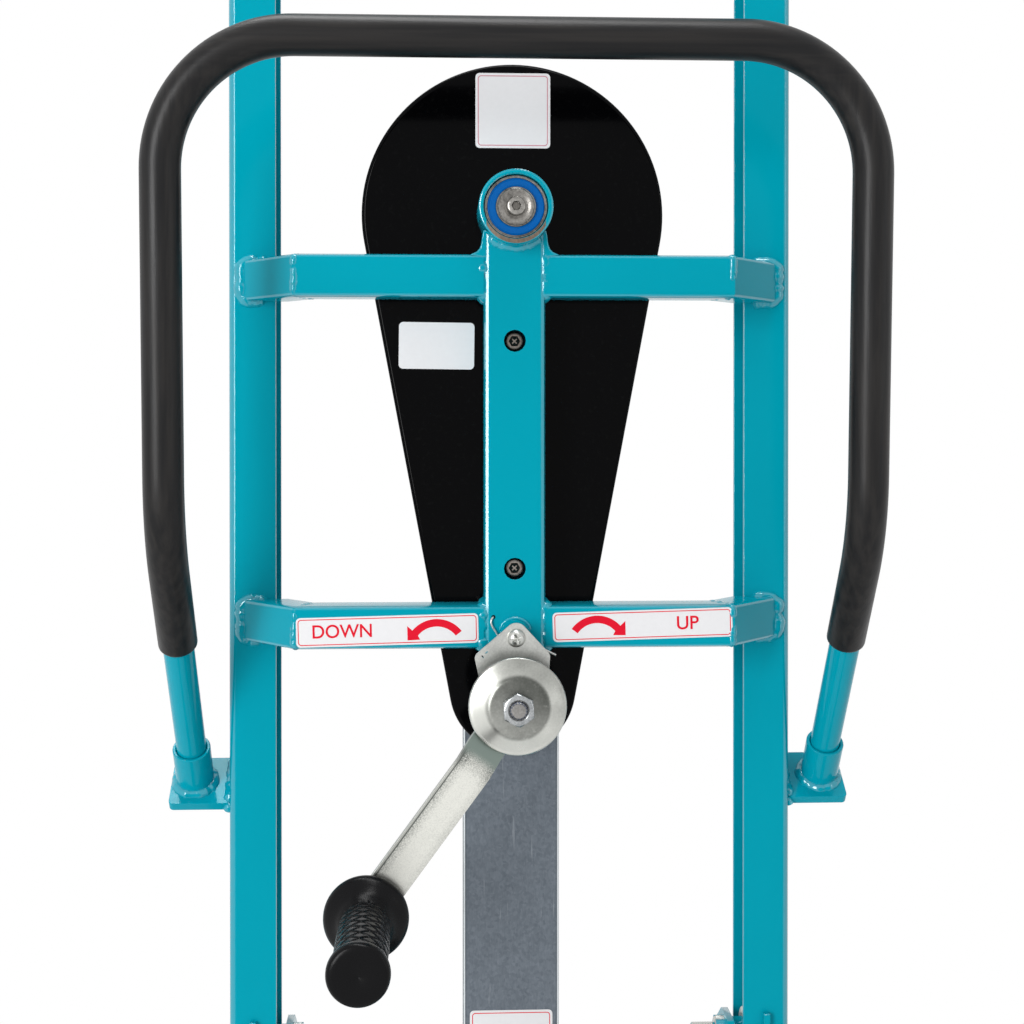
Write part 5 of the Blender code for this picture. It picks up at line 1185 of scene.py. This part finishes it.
# %% Front rollers and carriage rollers
for word, side in (("left", -1), ("right", 1)):
    low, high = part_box(f"front_roller_{word}")
    middle = (low + high) / 2
    radius, half_width = (high.z - low.z) / 2, (high.x - low.x) / 2
    profile = [(0.0063, half_width), (0.0125, half_width), (0.0135, half_width - 0.0010), (0.0160, half_width - 0.0035),
               (radius - 0.0140, half_width - 0.0035), (radius - 0.0110, half_width - 0.0010), (radius - 0.0090, half_width),
               (radius - 0.0040, half_width), (radius - 0.0015, half_width - 0.0006), (radius - 0.0004, half_width - 0.0020),
               (radius, half_width - 0.0045)]
    profile += [(r, -a) for r, a in reversed(profile)]
    shape = turned([(r, middle.x + a) for r, a in profile], "X", middle, 96, True)
    add_piece(f"front_roller_{word}_turned", shape, NYLON, f"front_{word}", [f"front_roller_{word}"])
    for level in ("upper", "lower"):
        name = f"carriage_roller_{level}_{word}"
        low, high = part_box(name)
        middle = (low + high) / 2
        radius, half_width = (high.z - low.z) / 2, (high.x - low.x) / 2
        profile = [(0.0083, half_width), (0.0110, half_width), (0.0113, half_width - 0.0008), (0.0152, half_width - 0.0008),
                   (0.0155, half_width), (radius - 0.0012, half_width), (radius - 0.0003, half_width - 0.0005),
                   (radius, half_width - 0.0014)]
        profile += [(r, -a) for r, a in reversed(profile)]
        shape = turned([(r, middle.x + a) for r, a in profile], "X", middle, 64, True)
        add_piece(f"{name}_turned", shape, finish_of[slot_of[name]], f"roller_{level}_{word}", [name])
print("rollers turned")

# %% [markdown]
# The four nuts and bolt ends that hold the rollers are zinc plated, while the
# carriage is painted, so a thin zinc nut and a threaded end are slipped over
# each painted one. A painted rib on each rail's face marks where the lower stop
# is welded in.

# %% Roller nuts and stop ribs
NUT_FACE, BOLT_END = 0.1791, 0.1587
for word, side in (("left", -1), ("right", 1)):
    for level in ("upper", "lower"):
        low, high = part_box(f"carriage_roller_{level}_{word}")
        middle = (low + high) / 2
        rings = []
        for along, cone in ((0.0, 0.0118), (0.0006, 0.0130), (0.0014, 0.0142), (0.0082, 0.0142)):
            ring = []
            for i in range(60):
                angle = 2 * math.pi * i / 60
                six = 0.0123 / math.cos((angle + math.pi / 6) % (math.pi / 3) - math.pi / 6)
                ring.append(axis_point("X", middle, min(six, cone), angle, side * (NUT_FACE + along)))
            rings.append(ring)
        thread = [(0.0, 0.0), (0.0074, 0.0), (0.0082, 0.0010)]
        for step in range(12):
            thread += [(0.00835, 0.0014 + 0.0015 * step), (0.0081, 0.0021 + 0.0015 * step)]
        end = turned([(r, side * (BOLT_END + a)) for r, a in thread], "X", middle, 40)
        add_piece(f"roller_nut_{level}_{word}_zinc", join(skin(rings), end), ZINC, "carriage", sharp=30)
    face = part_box(f"mast_rail_{word}")[0].y
    across = 0.2194 * side
    rib = slab([(-0.0028, -0.030), (0.0028, -0.030), (0.0028, 0.0), (-0.0028, 0.0)], 0.0068,
               Matrix.Translation((across, face - 0.0060, 0.5960)))
    round_shown_edges(add_piece(f"stop_rib_{word}", rib, PAINT), 0.0008)
print("nuts and stop ribs placed")

# %% [markdown]
# ## Lifting chain
# A roller chain is pairs of waisted link plates, alternately inside and
# outside, with a roller on every pin. The chain stands in the open side of the
# guard, so it is built link by link along its loop: two straight strands and a
# half turn over each sprocket.


# %% Lifting chain
low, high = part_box("lift_chain")
chain_plane = (low.y + high.y) / 2
top_z, foot_z = SHAFT_Z, axis["idler_turn"].z
half_gap = 0.015875 / 2 / math.sin(math.pi / 12)
straight = top_z - foot_z
loop_length = 2 * straight + 2 * math.pi * half_gap
link_count = 2 * round(loop_length / 0.015875 / 2)


def on_loop(travel):
    """A point on the chain's pitch line."""
    travel %= loop_length
    bend = math.pi * half_gap
    if travel < straight:
        return Vector((-half_gap, chain_plane, foot_z + travel))
    travel -= straight
    if travel < bend:
        turn = math.pi - travel / half_gap
        return Vector((half_gap * math.cos(turn), chain_plane, top_z + half_gap * math.sin(turn)))
    travel -= bend
    if travel < straight:
        return Vector((half_gap, chain_plane, top_z - travel))
    turn = -(travel - straight) / half_gap
    return Vector((half_gap * math.cos(turn), chain_plane, foot_z + half_gap * math.sin(turn)))


def add_link(shape, start, end, outer):
    ahead = (end - start).normalized()
    up = Vector((-ahead.z, 0, ahead.x))
    middle = (start + end) / 2
    reach, tall, waist = (end - start).length / 2, 0.0068, 0.0050
    outline = []
    for centre, turns in ((reach, (-70, -35, 0, 35, 70)), (-reach, (110, 145, 180, 215, 250))):
        for degrees in turns:
            a = math.radians(degrees)
            outline.append((centre + tall * math.cos(a), tall * math.sin(a)))
        outline.append((0, waist if centre > 0 else -waist))
    inner_face = 0.0056 if outer else 0.0042
    for side in (-1, 1):
        faces = []
        for y in (side * inner_face, side * (inner_face + 0.0013)):
            faces.append([shape.verts.new(middle + ahead * a + up * b + Vector((0, y, 0))) for a, b in outline])
        shape.faces.new(faces[0])
        shape.faces.new(faces[1])
        for i in range(len(outline)):
            j = (i + 1) % len(outline)
            shape.faces.new((faces[0][i], faces[0][j], faces[1][j], faces[1][i]))
    pin = 0.0023 if outer else 0.0050
    reach_y = 0.0069 if outer else 0.0041
    for y_from, y_to in ((-reach_y, reach_y),):
        rows = [[shape.verts.new(start + pin * (math.cos(t) * ahead + math.sin(t) * up) + Vector((0, y, 0)))
                 for t in (math.radians(d) for d in range(0, 360, 36))] for y in (y_from, y_to)]
        shape.faces.new(rows[0])
        shape.faces.new(rows[1])
        for i in range(10):
            j = (i + 1) % 10
            shape.faces.new((rows[0][i], rows[0][j], rows[1][j], rows[1][i]))


chain_shape = bmesh.new()
for number in range(link_count):
    here = on_loop(number * loop_length / link_count)
    there = on_loop((number + 1) * loop_length / link_count)
    add_link(chain_shape, here, there, number % 2 == 0)
bmesh.ops.recalc_face_normals(chain_shape, faces=chain_shape.faces)
add_piece("lift_chain_links", chain_shape, CHAIN, stands_for=["lift_chain"])
print("lifting chain has", link_count, "links")

# %% [markdown]
# ## Plates and stickers
# The two crossbars carry stickers that say which way the crank lifts and
# lowers. A sticker is a thin vinyl sheet with rounded corners, a fine red line
# just inside its edge, a word and a bent arrow. The print is a hair thicker
# than the vinyl so that the two never share a surface.


# %% Stickers
def sticker(name, centre, width, height, turn, line_finish, line_inset, body="lift_frame"):
    """A bare sheet with a printed line round it. Returns the matrix that places print on it."""
    place = Matrix.Translation(centre) @ Matrix.Rotation(turn, 4, "Y")
    sheet = add_piece(name, slab(rounded_box(width, height, 0.0035), 0.0003, place), VINYL, body)
    line = rounded_box(width - 2 * line_inset, height - 2 * line_inset, 0.0028)
    inner = rounded_box(width - 2 * line_inset - 0.0014, height - 2 * line_inset - 0.0014, 0.0021)[::-1]
    if line_finish:
        print_place = place @ Matrix.Translation((0, -0.00008, 0))
        add_piece(f"{name}_line", slab(line, 0.0001, print_place, [inner]), line_finish, body)
    return place


def printed_word(name, text, place, x, z, cap_height, width):
    """A printed word, drawn with Blender's own font and fitted to a height and a width."""
    curve = bpy.data.curves.new(name, "FONT")
    curve.body, curve.align_x, curve.align_y = text, "CENTER", "CENTER"
    curve.extrude, curve.offset, curve.resolution_u = 0.01, 0.010, 6
    holder = bpy.data.objects.new(name, curve)
    scene.collection.objects.link(holder)
    bpy.context.view_layer.update()
    mesh = bpy.data.meshes.new_from_object(holder.evaluated_get(bpy.context.evaluated_depsgraph_get()))
    bpy.data.objects.remove(holder)
    shape = bmesh.new()
    shape.from_mesh(mesh)
    bpy.data.meshes.remove(mesh)
    points = [v.co for v in shape.verts]
    low_x, high_x = min(p.x for p in points), max(p.x for p in points)
    low_y, high_y = min(p.y for p in points), max(p.y for p in points)
    for vert in shape.verts:
        across = (vert.co.x - (low_x + high_x) / 2) * width / (high_x - low_x)
        up = (vert.co.y - (low_y + high_y) / 2) * cap_height / (high_y - low_y)
        vert.co = place @ Vector((x + across, -0.00016 if vert.co.z > 0 else -0.00002, z + up))
    add_piece(name, shape, RED_INK)


def bent_arrow(name, place, x, z, side):
    """A thick arc over the top with its head at one end. side is -1 where the head is at the left."""
    outline = arc((0, 0), 0.0258, 37, 139, 20) + [(-0.0236, 0.0207), (-0.0236, 0.0090), (-0.0133, 0.0094)]
    outline += arc((0, 0), 0.0197, 140, 37, 20)
    outline = [(x - side * a, z + b) for a, b in outline]
    if side > 0:
        outline = outline[::-1]
    add_piece(name, slab(outline, 0.0001, place @ Matrix.Translation((0, -0.00008, 0))), RED_INK)


bar_y = BAR_FRONT - 0.00035
down = sticker("down_sticker", (-0.1038, bar_y, 0.9348), 0.148, 0.024, -math.radians(1.3), RED_INK, 0.0014)
printed_word("down_word", "DOWN", down, -0.0367, 0.0005, 0.0110, 0.0480)
bent_arrow("down_arrow", down, 0.0397, -0.0176, -1)
up = sticker("up_sticker", (0.1050, bar_y, 0.9383), 0.148, 0.024, -math.radians(1.5), RED_INK, 0.0014)
printed_word("up_word", "UP", up, 0.0371, 0.0005, 0.0110, 0.0180)
bent_arrow("up_arrow", up, -0.0380, -0.0172, 1)
case_y = case_front - 0.00035
sticker("case_plate_white", (-0.0638, case_y, 1.1680), 0.063, 0.039, math.radians(0.7), None, 0.0015)
sticker("case_plate_square", (0.0, case_y, 1.3647), 0.0626, 0.0626, 0.0, PINK_INK, 0.0020)
guard_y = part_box("chain_guard")[0].y - 0.00035
sticker("guard_plate", (0.0, guard_y, 0.5690), 0.071, 0.060, 0.0, RED_INK, 0.0020)
print("stickers placed")

# %% [markdown]
# ## Floor, light and camera
# The lift stands on a plain pale floor in plain, soft light. Near the lift the
# floor is a diffuse surface that holds its shadow. Farther out it turns to the
# white of the world for the camera and for reflections, so it has no horizon.


# %% Floor
def floor_finish():
    finish = Finish("pale studio floor", "stage")
    paths = finish.node("LightPath")
    seen = paths["Is Camera Ray"] + paths["Is Glossy Ray"] + paths["Is Transmission Ray"]
    seen = seen.math("MINIMUM", seen, 1.0)
    far = finish.radius((0, 0, 0), "XY").fade(0.55, 1.35)
    near_share = 0.35 + 0.65 * far
    white = finish.node("Emission", None, {"Color": (1, 1, 1, 1), "Strength": 1.0})
    finish.set(base_color=(0.86, 0.86, 0.86), roughness=0.7, specular_ior_level=0.1)
    surface = finish.node("MixShader", None, {0: seen * near_share, 1: Wire(finish, finish.shader), 2: white})
    output = finish.tree.nodes["Material Output"]
    finish.plug(output.inputs["Surface"], surface)
    return finish


floor_shape = skin([[Vector((r * math.cos(a), r * math.sin(a), 0)) for a in (2 * math.pi * i / 96 for i in range(96))]
                    for r in (0.0, 1.0, 3.0, 12.0, 60.0)], caps=False)
floor_mesh = bpy.data.meshes.new("floor")
floor_shape.to_mesh(floor_mesh)
floor_shape.free()
floor_mesh.materials.append(floor_finish().material)
floor = bpy.data.objects.new("floor", floor_mesh)
floor.location.z = -0.0005
scene.collection.objects.link(floor)
print("floor laid")

# %% [markdown]
# The world is white where the camera or a reflection looks at it, and a little
# weaker as a light. A large lamp high at the left gives the shapes their shade,
# and a weak one at the right keeps the shadows open.

# %% World and lamps
world = bpy.data.worlds.new("white studio")
world.use_nodes = True
scene.world = world
tree = world.node_tree
background = tree.nodes["Background"]
paths = tree.nodes.new("ShaderNodeLightPath")
direct = tree.nodes.new("ShaderNodeMath")
direct.operation, direct.use_clamp = "ADD", True
tree.links.new(paths.outputs["Is Camera Ray"], direct.inputs[0])
both = tree.nodes.new("ShaderNodeMath")
both.operation, both.use_clamp = "ADD", True
tree.links.new(paths.outputs["Is Glossy Ray"], both.inputs[0])
tree.links.new(paths.outputs["Is Transmission Ray"], both.inputs[1])
tree.links.new(both.outputs[0], direct.inputs[1])
level = tree.nodes.new("ShaderNodeMapRange")
level.inputs["To Min"].default_value, level.inputs["To Max"].default_value = 0.50, 1.0
tree.links.new(direct.outputs[0], level.inputs["Value"])
tree.links.new(level.outputs["Result"], background.inputs["Strength"])
background.inputs["Color"].default_value = (1, 1, 1, 1)


def lamp(name, place, aim, size, watts):
    data = bpy.data.lights.new(name, "AREA")
    data.shape, data.size, data.size_y, data.energy = "RECTANGLE", *size, watts
    holder = bpy.data.objects.new(name, data)
    holder.location = place
    holder.rotation_euler = (Vector(aim) - Vector(place)).to_track_quat("-Z", "Y").to_euler()
    scene.collection.objects.link(holder)
    return holder


lamp("key lamp", (-1.7, -2.5, 1.45), (0, -0.25, 1.1), (0.8, 1.7), 51)
lamp("top lamp", (-0.1, -0.35, 3.2), (0, -0.25, 1.1), (2.0, 0.5), 31)
lamp("fill lamp", (2.6, -1.6, 1.4), (0, 0, 1.0), (0.2, 1.6), 3)
scene.view_settings.view_transform = "Standard"
print("world strength as a light", level.inputs["To Min"].default_value)

# %% [markdown]
# The camera stands where the photographer's did: a little left of the middle,
# as high as the upper crossbar, and level with the crank's side of the lift.
# Vertical edges are almost parallel in the picture, so most of the view's drop
# comes from the lens shift and only a little from tilt.

# %% Camera
camera_data = bpy.data.cameras.new("camera")
camera_data.sensor_width = 36
camera_data.lens = 56.2
camera_data.shift_y = -0.08
camera = bpy.data.objects.new("camera", camera_data)
camera.location = (-0.0636, -1.5602, 1.1072)
camera.rotation_euler = (math.radians(90 - 0.414), 0, math.radians(-2.691))
scene.collection.objects.link(camera)
scene.camera = camera
bpy.context.view_layer.update()
print("camera at", tuple(round(v, 3) for v in camera.location))
